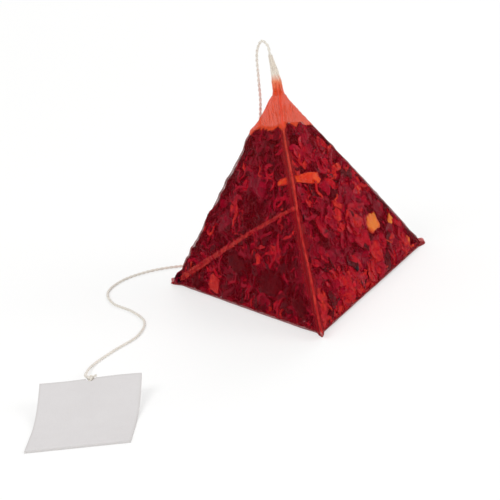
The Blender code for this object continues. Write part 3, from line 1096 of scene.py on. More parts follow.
@dataclass
class GauzePouch:
    """The folded gauze with its crimped seals and its lap seam, and the gathered tail."""

    form: PouchForm
    finish: GauzeFinish = field(default_factory=GauzeFinish)
    wall: float = 0.00010
    rows: int = 104
    side_columns: int = 52
    base_columns: int = 16
    corner_columns: int = 6
    lap_columns: int = 10
    crimp_pitch: float = 0.0010
    crimp_depth: float = 0.00009
    crimp_rows: int = 8
    fin_wave: float = 0.00012
    fin_wave_length: float = 0.0031
    row_crowding: float = 0.55
    lap_ribs: float = 0.18
    lap_foot: float = 0.00015
    lap_share: float = 0.88
    crease_share: float = 0.30
    crease_reach: tuple[float, float] = (0.0002, 0.0015)
    soaked_fold: float = 0.85
    soaked_fold_reach: tuple[float, float] = (0.0003, 0.0015)
    soaked_reach: tuple[float, float] = (0.0007, 0.0017)
    seal_start: tuple[float, float] = (-0.0001, 0.0003)
    empty_start: tuple[float, float] = (-0.0008, 0.0002)
    gathered_start: tuple[float, float] = (0.79, 0.90)
    tail_rows: int = 44
    tail_overlap: float = 0.0028
    tail_apex_radius: float = 0.00082
    tail_tip_radius: float = 0.00034
    tail_blend: float = 0.0003
    tail_girth: float = 0.012
    tail_columns: int = 84
    pleats: int = 7

    @property
    def map_width(self) -> float:
        """Real width of the fabric map's unit."""
        return 2.0 * self.form.edge

    def section(self, share: float) -> list[SkinPoint]:
        """Points round the tube, from the middle of the base and round to it again.

        Args:
            share: share of the way back.

        Returns:
            The section's points, in the way across and up.
        """
        form = self.form
        half = max(share * form.edge / 2.0, form.seal_thickness / 2.0)
        low = -(1.0 - share) * form.edge / 2.0
        high = max(-low, low + math.sqrt(1.5) * form.seal_thickness)
        middle, tall = (low + high) / 2.0, (high - low) / 2.0
        radius = 0.98 * min(form.fold_radius, half, tall)
        wide, top = half - radius, tall - radius
        edge = form.edge
        points = [SkinPoint(a, low, 0.0, -1.0, a - edge / 2.0, 0.0)
                  for a in evenly(0.0, wide, self.base_columns)]
        points += self.arc(wide, middle - top, radius, 3, -top - radius)
        points += [SkinPoint(half, middle + a, 1.0, 0.0, a, 0.0)
                   for a in evenly(-top, top, self.side_columns)]
        points += self.arc(wide, middle + top, radius, 0, top + radius)
        points += [SkinPoint(a, high, 0.0, 1.0, edge / 2.0 - a, 0.0)
                   for a in evenly(wide, -wide, self.side_columns)]
        points += self.arc(-wide, middle + top, radius, 1, edge - top - radius)
        points += [SkinPoint(-half, middle + a, -1.0, 0.0, edge - a, lap)
                   for a, lap in self.lap_marks(top, share)]
        points += self.arc(-wide, middle - top, radius, 2, edge + top + radius)
        points += [SkinPoint(a, low, 0.0, -1.0, edge * 1.5 + a, 0.0)
                   for a in evenly(-wide, 0.0, self.base_columns)]
        return points

    def arc(self, across: float, up: float, radius: float, quarter: int, girth: float) -> list[SkinPoint]:
        """Points on a rounded fold.

        Args:
            across: the arc's centre, across.
            up: the arc's centre, up the seal.
            radius: the fold's radius.
            quarter: which quarter of a turn the arc covers.
            girth: way round the tube at the fold.

        Returns:
            The arc's points.
        """
        points = []
        for step in range(1, self.corner_columns):
            share = step / self.corner_columns
            angle = math.radians(90.0 * (quarter + share))
            lean = (math.cos(angle), math.sin(angle))
            points.append(SkinPoint(across + radius * lean[0], up + radius * lean[1], *lean,
                                    girth + radius * (2.0 * share - 1.0), 0.0))
        return points

    def lap_marks(self, reach: float, share: float) -> list[tuple[float, float]]:
        """Mark the side that has the lap seam.

        Args:
            reach: half the side's flat height.
            share: share of the way back.

        Returns:
            The places down the side, and how far each stands on the lap.
        """
        wave = 1.0 + 0.16 * noise.noise(Vector((0.0, 0.0, share * 14.0)))
        half = min((self.form.lap_width + self.form.lap_spread * share) * wave / 2.0, 0.45 * reach)
        foot = half + min(self.lap_foot, 0.2 * reach)
        plain = (self.side_columns - self.lap_columns) // 2
        marks = [(a, 0.0) for a in evenly(reach, foot, plain)] + [(foot, 0.0), ((foot + half) / 2.0, 0.55)]
        marks += [(a, 1.0) for a in evenly(half, -half, self.lap_columns)]
        marks += [(-half, 1.0), (-(foot + half) / 2.0, 0.55)]
        return marks + [(a, 0.0) for a in evenly(-foot, -reach, plain)]

    def crimp(self, way: float) -> float:
        """How deep a seal is pressed at a place along it."""
        return self.crimp_depth * (0.5 - 0.5 * math.cos(2.0 * math.pi * way / self.crimp_pitch))

    def fin(self, share: float, reach: float) -> list[Vector]:
        """One row of a flat seal.

        Args:
            share: 0 for the front seal and 1 for the back one.
            reach: distance out from where the seal starts.

        Returns:
            The row's points.
        """
        form = self.form
        points = []
        for spot in self.section(share):
            if share < 0.5:
                way = spot.up
                nearing = max(0.0, 1.0 - (form.edge / 2.0 - way) / form.seal_taper)
                slide = -form.tube_axis * reach * (1.0 - (1.0 - form.seal_tip_share) * nearing ** 2)
                sway = self.fin_wave * math.sin(way / self.fin_wave_length)
                wave = form.across_axis * (sway * reach / form.seal_width)
                pressed = spot._replace(across=spot.across - spot.lean_across * self.crimp(way))
            else:
                way = spot.across
                slide = Vector((0.0, reach, 0.0))
                wave = Vector()
                pressed = spot._replace(up=spot.up - max(spot.lean_up, 0.0) * 2.0 * self.crimp(way))
            points.append(form.point(share, pressed.across, pressed.up) + slide + wave)
        return points

    def shell_rows(self) -> tuple[list[list[Vector]], list[float]]:
        """Work out the rows of the shell.

        Returns:
            The rows, and how far each lies from the front seal, along the gauze.
        """
        form = self.form
        reaches = [form.seal_width * step / self.crimp_rows for step in range(1, self.crimp_rows + 1)]
        rows = [self.fin(0.0, reach) for reach in reversed(reaches)]
        ways = [-reach for reach in reversed(reaches)]
        for step in range(self.rows + 1):
            turned = step / self.rows
            share = turned - self.row_crowding * math.sin(2.0 * math.pi * turned) / (2.0 * math.pi)
            phase = math.cos(2.0 * math.pi * share * form.slant / self.crimp_pitch)
            rib = 1.0 - self.lap_ribs * (0.5 + 0.5 * phase)
            rows.append([form.skin(share, spot._replace(lap=spot.lap * rib)) for spot in self.section(share)])
            ways.append(share * form.slant)
        rows += [self.fin(1.0, reach) for reach in reaches]
        ways += [form.slant + reach for reach in reaches]
        return rows, ways

    def build_shell(self) -> Thing:
        """Loft the folded and sealed gauze.

        Returns:
            The shell, with its map and the numbers that its material reads.
        """
        form = self.form
        rows, ways = self.shell_rows()
        shell = loft("gauze_shell", rows, capped=True)
        points = [point for row in rows for point in row]
        girths, sealed, soaked = self.shell_numbers(ways)
        store(shell, "sealed", sealed)
        store(shell, "soaked", soaked)
        heights = [point.z / form.tail_tip.z for point in points]
        store(shell, "height", heights)
        over_fill = [point.z - form.fill_top(point) for point in points]
        store(shell, "empty", [soft_step(over, *self.empty_start) for over in over_fill])
        store(shell, "gathered", [soft_step(height, *self.gathered_start) for height in heights])
        self.map_fabric(shell, girths, ways)
        outward(shell)
        finish_modifier(shell, "SOLIDIFY", thickness=self.wall, offset=-1.0)
        smooth(shell, 60.0)
        return shell

    def shell_numbers(self, ways: Sequence[float]) -> tuple[list[float], list[float], list[float]]:
        """Work out the numbers that the gauze's map and material need.

        Args:
            ways: how far each row lies from the front seal.

        Returns:
            Way round the tube, share of sealing and share of soaking, for each vertex of the shell.
        """
        form = self.form
        girths, sealed, soaked = [], [], []
        for way in ways:
            share = min(max(way / form.slant, 0.0), 1.0)
            outside = max(-way, way - form.slant, 0.0)
            wet = 1.0 - soft_step(min(way, form.slant - way), *self.soaked_reach)
            for spot in self.section(share):
                girths.append(spot.girth)
                if spot.on_side:
                    reach = (1.0 - share) * form.edge / 2.0 - abs(spot.up)
                else:
                    reach = share * form.edge / 2.0 - abs(spot.across)
                reach = min(reach, (1.0 - share) * form.slant)
                crease = self.crease_share * (1.0 - soft_step(reach, *self.crease_reach))
                fold = self.soaked_fold * (1.0 - soft_step(reach, *self.soaked_fold_reach))
                soaked.append(0.0 if outside else max(wet, fold))
                sealed.append(max(self.lap_share * spot.lap, crease, soft_step(outside, *self.seal_start)))
        return girths, sealed, soaked

    def map_fabric(self, shell: Thing, girths: Sequence[float], ways: Sequence[float]) -> None:
        """Lay the flat gauze's own map on the shell.

        Args:
            shell: the shell.
            girths: way round the tube for each vertex.
            ways: how far each row lies from the front seal.
        """
        count = len(girths) // len(ways)
        layer = shell.data.uv_layers.new(name=FABRIC_MAP)
        for face in shell.data.polygons:
            columns = [index % count for index in face.vertices]
            wraps = len(face.vertices) == 4 and max(columns) - min(columns) > count / 2
            for corner, index in zip(face.loop_indices, face.vertices):
                girth = girths[index]
                if wraps and index % count < count / 2:
                    girth += 2.0 * self.form.edge
                layer.data[corner].uv = (girth / self.map_width, ways[index // count] / self.map_width)

    def tail_radius(self, way: float, angle: float) -> float:
        """Radius of the tail: the pyramid's own section under the apex, a cone past it.

        Args:
            way: way past the apex, less than 0 under it.
            angle: angle round the tail.

        Returns:
            The radius, before it is pleated.
        """
        form = self.form
        third = 2.0 * math.pi / 3.0
        past = way / (form.tail_length - form.tail_root_depth)
        cone = self.tail_apex_radius + (self.tail_tip_radius - self.tail_apex_radius) * past
        from_face = (angle - math.pi / 6.0) % third - third / 2.0
        flat = max(-way, 0.0) / math.sqrt(8.0) * (1.10 - 0.10 * math.cos(3.0 * from_face)) + 0.00003
        return (flat + cone + math.sqrt((flat - cone) ** 2 + self.tail_blend ** 2)) / 2.0

    def build_tail(self) -> Thing:
        """Loft the gauze gathered round the thread, in pleats.

        Returns:
            The tail, with its map and the numbers that its material reads.
        """
        form = self.form
        level = Vector((0.0, 0.0, 1.0))
        reach = form.tail_length - form.tail_root_depth
        rows, gathered = [], []
        for step in range(self.tail_rows + 1):
            share = step / self.tail_rows
            way = (reach + self.tail_overlap) * share - self.tail_overlap
            free = soft_step(way, -self.tail_overlap, 0.0)
            lean = level.lerp(form.tail_axis, soft_step(way, -0.0008, 0.0015)).normalized()
            turn = level.rotation_difference(lean).to_matrix()
            centre = form.apex + (form.tail_axis if way > 0.0 else level) * way
            row = []
            for column in range(self.tail_columns):
                angle = 2.0 * math.pi * column / self.tail_columns
                swirl = 1.4 * math.sin(2.0 * angle + 3.0 * share)
                fold = math.cos(self.pleats * (angle + 1.1 * share) + swirl)
                rough = noise.noise(Vector((math.cos(angle), math.sin(angle), share * 5.0)) * 1.4)
                out = self.tail_radius(way, angle) * (1.0 + free * (0.18 * fold + 0.14 * rough))
                ragged = 0.0005 * rough * soft_step(share, 0.9, 1.0)
                row.append(centre + turn @ Vector((out * math.cos(angle), out * math.sin(angle), ragged)))
                gathered.append(soft_step(way, -self.tail_overlap, -0.0006))
            rows.append(row)
        tail = loft("gauze_tail", rows, capped=False)
        points = [point for row in rows for point in row]
        store(tail, "height", [point.z / form.tail_tip.z for point in points])
        store(tail, "sealed", [0.0] * len(points))
        store(tail, "soaked", [0.0] * len(points))
        store(tail, "empty", [1.0] * len(points))
        store(tail, "gathered", gathered)
        layer = tail.data.uv_layers.new(name=FABRIC_MAP)
        count = self.tail_columns
        for face in tail.data.polygons:
            columns = [index % count for index in face.vertices]
            wraps = max(columns) - min(columns) > 1
            for corner, index in zip(face.loop_indices, face.vertices):
                column = index % count + (count if wraps and index % count == 0 else 0)
                height = index // count / self.tail_rows * form.tail_length
                layer.data[corner].uv = (column / count * self.tail_girth / self.map_width,
                                         height / self.map_width)
        finish_modifier(tail, "SOLIDIFY", thickness=self.wall, offset=-1.0, use_rim=True)
        smooth(tail, 60.0)
        return tail

    def build(self) -> None:
        """Build the pouch and its tail, and fix them to the part."""
        shell = self.build_shell()
        tail = self.build_tail()
        material = self.finish.make("stained_gauze", self.map_width)
        seat(shell, material, "gauze", "gauze_pouch")
        seat(tail, material, "gauze", "gauze_pouch")


# The leaf that fills it

class Kind(Enum):
    """The sorts of larger piece in the fill."""

    PEEL = "orange_peel"
    ZEST = "orange_zest"
    ROSEHIP = "rosehip"
    PETAL = "petal"
    LEAF = "dark_leaf"


# Share of a larger piece's size that the shreds leave clear
CLEAR_SHARES = {Kind.PEEL: 0.68, Kind.ZEST: 0.60, Kind.ROSEHIP: 0.56, Kind.PETAL: 0.36, Kind.LEAF: 0.54}


class Flake(NamedTuple):
    """One larger piece: its solid, place, size and sort, and how much narrower its front end is."""

    node: str
    face: Face
    share: float
    along: float
    length: float
    width: float
    turn: float
    kind: Kind
    taper: float = 0.0


FLAKE_ROWS = {
    Face.RIGHT: (
        ("orange_peel_sliver", 0.108, 0.30, 0.0096, 0.0030, 12, Kind.ZEST, 0.50),
        ("orange_peel_chip", 0.57, 0.13, 0.0056, 0.0042, 25, Kind.PEEL),
        ("orange_peel_crumb", 0.74, 0.50, 0.0028, 0.0020, 60, Kind.PEEL),
        ("orange_peel_curl", 0.87, -0.10, 0.0036, 0.0018, 80, Kind.PEEL),
        ("rosehip_shred_right", 0.30, 0.16, 0.0036, 0.0016, -10, Kind.ROSEHIP),
        ("rosehip_shred_upper", 0.36, 0.68, 0.0034, 0.0016, 20, Kind.ROSEHIP),
        ("rosehip_shred_middle", 0.50, 0.60, 0.0034, 0.0018, 40, Kind.ROSEHIP),
        ("rosehip_shred_outer", 0.72, -0.10, 0.0030, 0.0018, 30, Kind.ROSEHIP),
        ("hibiscus_petal_front_right", 0.24, -0.42, 0.0092, 0.0066, 15, Kind.PETAL),
        ("hibiscus_petal_low_right", 0.47, -0.46, 0.0092, 0.0062, 35, Kind.PETAL),
        ("hibiscus_petal_top_right", 0.19, 0.68, 0.0052, 0.0038, 50, Kind.PETAL),
        ("dark_leaf_right", 0.65, -0.52, 0.0050, 0.0034, 10, Kind.LEAF),
    ),
    Face.LEFT: (
        ("rosehip_square", 0.67, -0.56, 0.0036, 0.0034, 40, Kind.ROSEHIP),
        ("dark_leaf_corner_left", 0.80, -0.40, 0.0046, 0.0032, 15, Kind.LEAF),
        ("dark_leaf_middle_left", 0.46, -0.26, 0.0060, 0.0038, 65, Kind.LEAF),
        ("dark_leaf_low_left", 0.26, -0.58, 0.0070, 0.0050, 40, Kind.LEAF),
        ("dark_leaf_front_left", 0.10, -0.80, 0.0046, 0.0034, 75, Kind.LEAF),
        ("hibiscus_petal_upper_left", 0.24, 0.46, 0.0084, 0.0060, 35, Kind.PETAL),
        ("hibiscus_petal_middle_left", 0.52, 0.46, 0.0066, 0.0046, 5, Kind.PETAL),
        ("orange_peel_front_left", 0.050, 0.25, 0.0038, 0.0013, 11, Kind.ZEST, -0.6),
    ),
    Face.BACK: (
        ("hibiscus_petal_back_left", 0.72, -0.40, 0.0088, 0.0060, 25, Kind.PETAL),
        ("hibiscus_petal_back_right", 0.62, 0.36, 0.0082, 0.0056, 70, Kind.PETAL),
        ("orange_peel_back", 0.84, 0.10, 0.0070, 0.0040, 15, Kind.PEEL),
        ("dark_leaf_back", 0.48, -0.10, 0.0070, 0.0044, 50, Kind.LEAF),
    ),
}
FLAKES = tuple(Flake(node, face, *rest) for face, entries in FLAKE_ROWS.items()
               for node, *rest in entries)

# Small bright shreds of the right face: share of the way back, place up it and shade
BRIGHT_BITS = (
    (0.358, 0.697, 0.96), (0.490, 0.590, 1.00), (0.286, 0.219, 0.94), (0.673, -0.230, 1.00),
    (0.614, -0.731, 0.92), (0.897, -0.460, 0.98), (0.824, -0.154, 0.96), (0.844, -0.900, 0.90),
    (0.944, 0.200, 0.94), (0.870, -0.300, 1.00), (0.855, 0.050, 0.92), (0.160, 0.780, 0.90),
    (0.120, 0.860, 0.88), (0.420, 0.760, 0.88),
)


class ShredCopy(NamedTuple):
    """One shred of the fill: its shape, place, turn there, depth under the gauze and shade."""

    mesh: bpy.types.Mesh
    place: Matrix
    turn: Matrix
    depth: float
    shade: float


@dataclass
class LeafFill:
    """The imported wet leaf: a lumpy heap and the loose shreds that lie on its skin."""

    form: PouchForm
    finish: LeafFinish = field(default_factory=LeafFinish)
    heap_depth: float = 0.0016
    heap_rows: int = 60
    heap_columns: int = 34
    heap_sink: float = 0.0014
    front_gap: float = 0.0008
    back_gap: float = 0.0016
    voxel: float = 0.00055
    base_depth: float = 0.0007
    dent: float = 0.0006
    shred_thickness: float = 0.00022
    shreds: int = 900
    left_shreds: int = 1250
    base_shreds: int = 460
    top_shreds: int = 130
    least_depth: float = 0.00040
    most_depth: float = 0.0019
    base_most_depth: float = 0.0009
    least_room: float = 0.0006
    behind_flake: float = 0.0015
    margin: float = 0.00020
    reach: tuple[float, float] = (0.03, 0.985)
    rim_share: float = 0.35
    base_rim_share: float = 0.7
    seal_rim_share: float = 0.14
    seal_rim: tuple[float, float] = (0.92, 0.985)
    rim_shreds: int = 170
    back_rim_shreds: int = 60
    rim_reach: tuple[float, float] = (0.008, 0.35)
    rim_height: float = 0.0016
    rim_shade: float = 0.40
    rim_spread: float = 0.15
    wedge_share: float = 0.055
    middle_shade: float = 0.50
    # Painted shade: how much darker the deepest shreds are drawn
    painted_depth_shade: float = 0.38
    clump_size: float = 0.0052
    clumps: float = 0.58
    smooth_clumps: float = 0.36
    # Painted light: how much lighter the right face's shreds are drawn, as a whole and low down
    right_painted_light: float = 0.29
    low_painted_light: float = 0.09
    spread: float = 0.20
    smooth_spread: float = 0.10
    black_share: float = 0.08
    black: float = 0.03
    darkest: float = 0.02
    brightest: float = 0.86
    seed: int = 11

    def heap_section(self, share: float) -> list[Vector]:
        """Points round the heap at one section of the tube.

        Args:
            share: share of the way back.

        Returns:
            The section's points.
        """
        form = self.form
        lean = math.sqrt(1.5)
        half = share * form.edge / 2.0 - lean * self.heap_depth
        low = -(1.0 - share) * form.edge / 2.0 + lean * self.base_depth
        high = (1.0 - share) * form.edge / 2.0 - lean * self.heap_depth
        middle, tall = (low + high) / 2.0, (high - low) / 2.0
        corners = (
            (half, -tall, 1.0, 0.0), (half, tall, 0.0, 1.0),
            (-half, tall, -1.0, 0.0), (-half, -tall, 0.0, -1.0))
        points = []
        for index, (across, up, lean_across, lean_up) in enumerate(corners):
            next_across, next_up = corners[(index + 1) % 4][:2]
            for part in evenly(0.0, 1.0, self.heap_columns):
                a = across + (next_across - across) * part
                b = up + (next_up - up) * part
                side, back = form.belly(share, a, b + middle)
                out = form.bulge * (side if lean_across else back)
                points.append(form.point(share, a + lean_across * out, middle + b + max(lean_up, 0.0) * out))
        return points

    def build_heap(self) -> Thing:
        """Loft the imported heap, cut it at the fill's height and dent it all over.

        Returns:
            The heap.
        """
        form = self.form
        lean = math.sqrt(1.5)
        first = (self.front_gap + lean * self.heap_depth) / (form.edge / 2.0)
        last = 1.0 - (self.back_gap + lean * (self.heap_depth + self.base_depth)) / form.edge
        heap = loft("leaf_heap", [self.heap_section(first + (last - first) * step / self.heap_rows)
                                  for step in range(self.heap_rows + 1)], capped=True)
        edit_selected(heap, lambda place: True, lambda: bpy.ops.mesh.bisect(
            plane_co=(0.0, form.base_y, form.fill_level(form.base_y) - self.heap_sink),
            plane_no=(0.0, -form.fill_slope, 1.0), use_fill=True, clear_outer=True))
        finish_modifier(heap, "REMESH", mode="VOXEL", voxel_size=self.voxel)
        outward(heap)
        normals = [vert.normal.copy() for vert in heap.data.vertices]
        for vert, normal in zip(heap.data.vertices, normals):
            if normal.z > -0.6:
                dent = noise.noise(vert.co / 0.0026) + 0.6 * noise.noise(vert.co / 0.0012)
                vert.co += normal * (self.dent * dent)
        # The heap's low shade: the leaf's own dark tone deepened by painted shade of the depths between the
        # shreds, varied at random
        store(heap, "shade", [0.16 + 0.22 * noise.noise(vert.co / 0.003) for vert in heap.data.vertices])
        smooth(heap)
        return heap

    def make_shred(self, length: float, width: float, curl: float, twist: float, hook: float,
                   wave: float) -> bpy.types.Mesh:
        """Model one curled and ragged shred of leaf.

        Args:
            length: its length.
            width: its width.
            curl: how far its ends bend down, in degrees.
            twist: how far it turns about its length, in degrees.
            hook: how far it bends sideways, in degrees.
            wave: how far it wavers from side to side.

        Returns:
            Its mesh, lying along X at the origin.
        """
        deselect_all()
        bpy.ops.mesh.primitive_grid_add(x_subdivisions=7, y_subdivisions=2, size=1.0)
        shred = bpy.context.object
        bpy.ops.object.mode_set(mode="EDIT")
        bpy.ops.transform.resize(value=(length, width, 1.0))
        bpy.ops.object.mode_set(mode="OBJECT")
        edit_selected(shred, lambda place: abs(place.x) > 0.45 * length,
                      lambda: bpy.ops.transform.resize(value=(1.0, 0.35, 1.0)))
        seed = Vector((length, width, 0.0)) * 9000.0

        def roughen(place: Vector) -> Vector:
            ragged = noise.noise_vector(place / (1.1 * width) + seed) * (0.30 * width)
            swing = wave * math.sin(8.0 * place.x / length + seed.x)
            return place + Vector((ragged.x, ragged.y + swing, 0.0))

        move_vertices(shred, roughen)
        finish_modifier(shred, "SIMPLE_DEFORM", deform_method="TWIST", deform_axis="X",
                        angle=math.radians(twist))
        for way, bend in ((1.0, hook), (-1.0, curl)):
            finish_modifier(shred, "SIMPLE_DEFORM", deform_method="BEND", deform_axis="Z",
                            angle=math.radians(bend))
            edit_selected(shred, lambda place: True, lambda: bpy.ops.transform.rotate(
                value=way * math.pi / 2.0, orient_axis="X", center_override=(0.0, 0.0, 0.0)))
        finish_modifier(shred, "SOLIDIFY", thickness=self.shred_thickness, offset=0.0)
        mesh = shred.data
        bpy.data.objects.remove(shred)
        return mesh

    def gather(self, name: str, copies: Sequence[ShredCopy]) -> Thing:
        """Copy shreds to their places, press them flat against the gauze and join them to one piece.

        Args:
            name: the piece's name.
            copies: the shreds to copy.

        Returns:
            The joined piece.
        """
        points, faces, shades = [], [], []
        for copy in copies:
            start = len(points)
            for vert in copy.mesh.vertices:
                lying = copy.turn @ vert.co
                lying.z = min(lying.z, copy.depth - self.least_depth * 0.5)
                point = copy.place @ lying
                point.z = min(point.z, self.form.fill_top(point))
                points.append(self.form.tuck(point, self.margin))
            faces += [[start + index for index in face.vertices] for face in copy.mesh.polygons]
            shades += [copy.shade] * len(copy.mesh.vertices)
        thing = mesh_object(name, points, faces)
        store(thing, "shade", shades)
        smooth(thing)
        return thing

    def hidden_depth(self, face: Face, share: float, along: float) -> float:
        """Work out how deep a shred has to lie, so that it doesn't cover a larger piece.

        Args:
            face: the face that it lies behind.
            share: share of the way back.
            along: place across the face, from -1 to 1.

        Returns:
            The least depth.
        """
        spot = self.form.face_place(face, share, along)
        for flake in FLAKES:
            if flake.face is face:
                away = spot - self.form.face_place(face, flake.share, flake.along)
                way, over, _ = self.form.face_axes(face)
                turned = math.radians(flake.turn)
                x, y = away.dot(way), away.dot(over)
                along_it = x * math.cos(turned) + y * math.sin(turned)
                across_it = y * math.cos(turned) - x * math.sin(turned)
                clear = CLEAR_SHARES[flake.kind]
                if (along_it / (clear * flake.length)) ** 4 + (across_it / (clear * flake.width)) ** 4 < 1.0:
                    return self.behind_flake
        return self.least_depth

    def draw_shred(self, rng: random.Random, face: Face, kinds: Sequence[bpy.types.Mesh]) -> ShredCopy | None:
        """Draw a shred's place and turn behind one face.

        Args:
            rng: the source of random numbers.
            face: the face that it lies behind.
            kinds: the shreds to choose from.

        Returns:
            The shred, or None where the place is above the fill.
        """
        form = self.form
        share, tall = rng.random(), rng.random()
        share = 1.0 - math.sqrt(1.0 - share) if face in (Face.LEFT, Face.RIGHT) else math.sqrt(share)
        if face in (Face.BACK, Face.BASE) and rng.random() < self.seal_rim_share:
            share = rng.uniform(*self.seal_rim)
        share = min(max(share, self.reach[0]), self.reach[1])
        if rng.random() < (self.rim_share if face is not Face.BASE else self.base_rim_share):
            tall = 0.5 - 0.5 * math.cos(math.pi * tall)
        along = (2.0 * tall - 1.0) * 0.98
        flat = form.face_place(face, share, along)
        if flat.z > form.fill_top(flat):
            return None
        least = self.hidden_depth(face, share, along)
        most = self.most_depth if face is not Face.BASE else self.base_most_depth
        depth = rng.uniform(least, max(most, least + self.least_room))
        shade = self.draw_shade(rng, face, share, along, depth)
        return self.lay(rng, face, share, along, depth, rng.choice(kinds), rng.uniform(0.75, 1.25), shade)

    def draw_shade(self, rng: random.Random, face: Face, share: float, along: float, depth: float) -> float:
        """Draw a shred's shade: painted shade darkens it the deeper it lies; it varies in clumps; on the
        right face it is smoother and lifted by painted light, most of all low down.

        Args:
            rng: the source of random numbers.
            face: the face that it lies behind.
            share: share of the way back.
            along: place across the face, from -1 to 1.
            depth: depth under the gauze.

        Returns:
            The shade, from nearly black to orange.
        """
        flat = self.form.face_place(face, share, along)
        clump = noise.noise(flat / self.clump_size + Vector((3.0, 7.0, 1.0)))
        contrast, spread = self.clumps, self.spread
        if face is Face.RIGHT:
            contrast, spread = self.smooth_clumps, self.smooth_spread
        middle = self.middle_shade + contrast * clump
        # Painted shade: the deeper a shred lies, the darker it is drawn
        middle -= self.painted_depth_shade * (depth - self.least_depth) / self.most_depth
        # Painted light: the right face's shreds are drawn lighter as a whole, and lighter still low down
        if face is Face.RIGHT:
            low = self.low_painted_light * soft_step(-along, 0.45, 0.95)
            middle += self.right_painted_light + low * (1.0 - 0.4 * soft_step(share, 0.30, 0.80))
        if rng.random() < self.black_share:
            return self.black
        return min(max(rng.gauss(middle, spread), self.darkest), self.brightest)

    def lay(self, rng: random.Random, face: Face, share: float, along: float, depth: float,
            shape: bpy.types.Mesh, size: float, shade: float) -> ShredCopy:
        """Lay one shred behind the gauze, turned by chance.

        Args:
            rng: the source of random numbers.
            face: the face that it lies behind.
            share: share of the way back.
            along: place across the face, from -1 to 1.
            depth: depth under the gauze.
            shape: the shred's mesh.
            size: what its size is multiplied by.
            shade: its shade, from nearly black to orange.

        Returns:
            The shred.
        """
        form = self.form
        place = form.under_face(face, form.face_place(face, share, along), depth)
        way, over, out = form.face_axes(face)
        basis = Matrix((way, over, out)).transposed().to_4x4()
        turn = Matrix.Rotation(rng.uniform(0.0, 2.0 * math.pi), 4, "Z")
        tilt = Matrix.Rotation(math.radians(rng.gauss(0.0, 12.0)), 4, "X")
        dip = Matrix.Rotation(math.radians(rng.gauss(0.0, 10.0)), 4, "Y")
        return ShredCopy(shape, Matrix.Translation(place) @ basis, turn @ tilt @ dip @ Matrix.Scale(size, 4),
                         depth, shade)

    def build(self) -> None:
        """Build the heap and its shreds, and fix them to the part."""
        rng = random.Random(self.seed)
        # Without a seed, noise_vector takes its offsets from the clock
        noise.seed_set(self.seed)
        material = self.finish.make("wet_leaf")
        seat(self.build_heap(), material, "wet_leaf", "leaf_bed")
        strings = [self.make_shred(
            rng.uniform(0.0026, 0.0056), rng.uniform(0.00036, 0.00072), rng.uniform(30.0, 70.0),
            rng.uniform(-90.0, 90.0), rng.choice((-1.0, 1.0)) * rng.uniform(15.0, 150.0),
            rng.uniform(0.0001, 0.0006)) for _ in range(12)]
        chips = [self.make_shred(
            rng.uniform(0.0015, 0.0029), rng.uniform(0.0010, 0.0017), rng.uniform(20.0, 60.0),
            rng.uniform(-40.0, 40.0), rng.uniform(-30.0, 30.0), 0.0001) for _ in range(6)]
        petals = [self.make_shred(
            rng.uniform(0.0036, 0.0054), rng.uniform(0.0024, 0.0036), rng.uniform(30.0, 60.0),
            rng.uniform(-30.0, 30.0), rng.uniform(-25.0, 25.0), 0.0003) for _ in range(5)]
        mixes = (
            ("leaf_shreds_left", Face.LEFT, self.left_shreds, strings * 3 + chips),
            ("leaf_shreds_right", Face.RIGHT, self.shreds, strings + chips * 2 + petals * 3),
            ("leaf_shreds_back", Face.BACK, self.left_shreds, strings + chips + petals),
            ("leaf_shreds_base", Face.BASE, self.base_shreds, strings + chips * 2 + petals),
        )
        for name, face, number, kinds in mixes:
            copies: list[ShredCopy] = []
            while len(copies) < number:
                copy = self.draw_shred(rng, face, kinds)
                if copy:
                    copies.append(copy)
            if face is not Face.BASE:
                copies += self.rim_copies(rng, face, strings + chips)
            if face is Face.RIGHT:
                copies += [self.lay(rng, face, share, along, self.least_depth, rng.choice(strings + chips),
                                    0.55, shade) for share, along, shade in BRIGHT_BITS]
            seat(self.gather(name, copies), material, "wet_leaf")
        seat(self.gather("leaf_shreds_top", self.top_copies(rng, strings + chips)), material, "wet_leaf")

    def rim_copies(self, rng: random.Random, face: Face,
                   kinds: Sequence[bpy.types.Mesh]) -> list[ShredCopy]:
        """Draw small shreds at the fill's top edge and in the narrow wedge behind the front seal.

        Args:
            rng: the source of random numbers.
            face: the face that they lie behind.
            kinds: the shreds to choose from.

        Returns:
            The shreds.
        """
        copies: list[ShredCopy] = []
        number = self.back_rim_shreds if face is Face.BACK else self.rim_shreds
        while len(copies) < number:
            share, along = rng.uniform(*self.rim_reach), rng.uniform(-0.98, 0.98)
            flat = self.form.face_place(face, share, along)
            under = self.form.fill_top(flat) - flat.z
            in_wedge = share < self.wedge_share and face is not Face.BACK
            if under > 0.0 and (under < self.rim_height or in_wedge):
                depth = self.hidden_depth(face, share, along) * rng.uniform(0.8, 1.8)
                shade = min(max(rng.gauss(self.rim_shade, self.rim_spread), 0.05), 0.80)
                copies.append(self.lay(rng, face, share, along, depth, rng.choice(kinds),
                                       rng.uniform(0.5, 0.8), shade))
        return copies

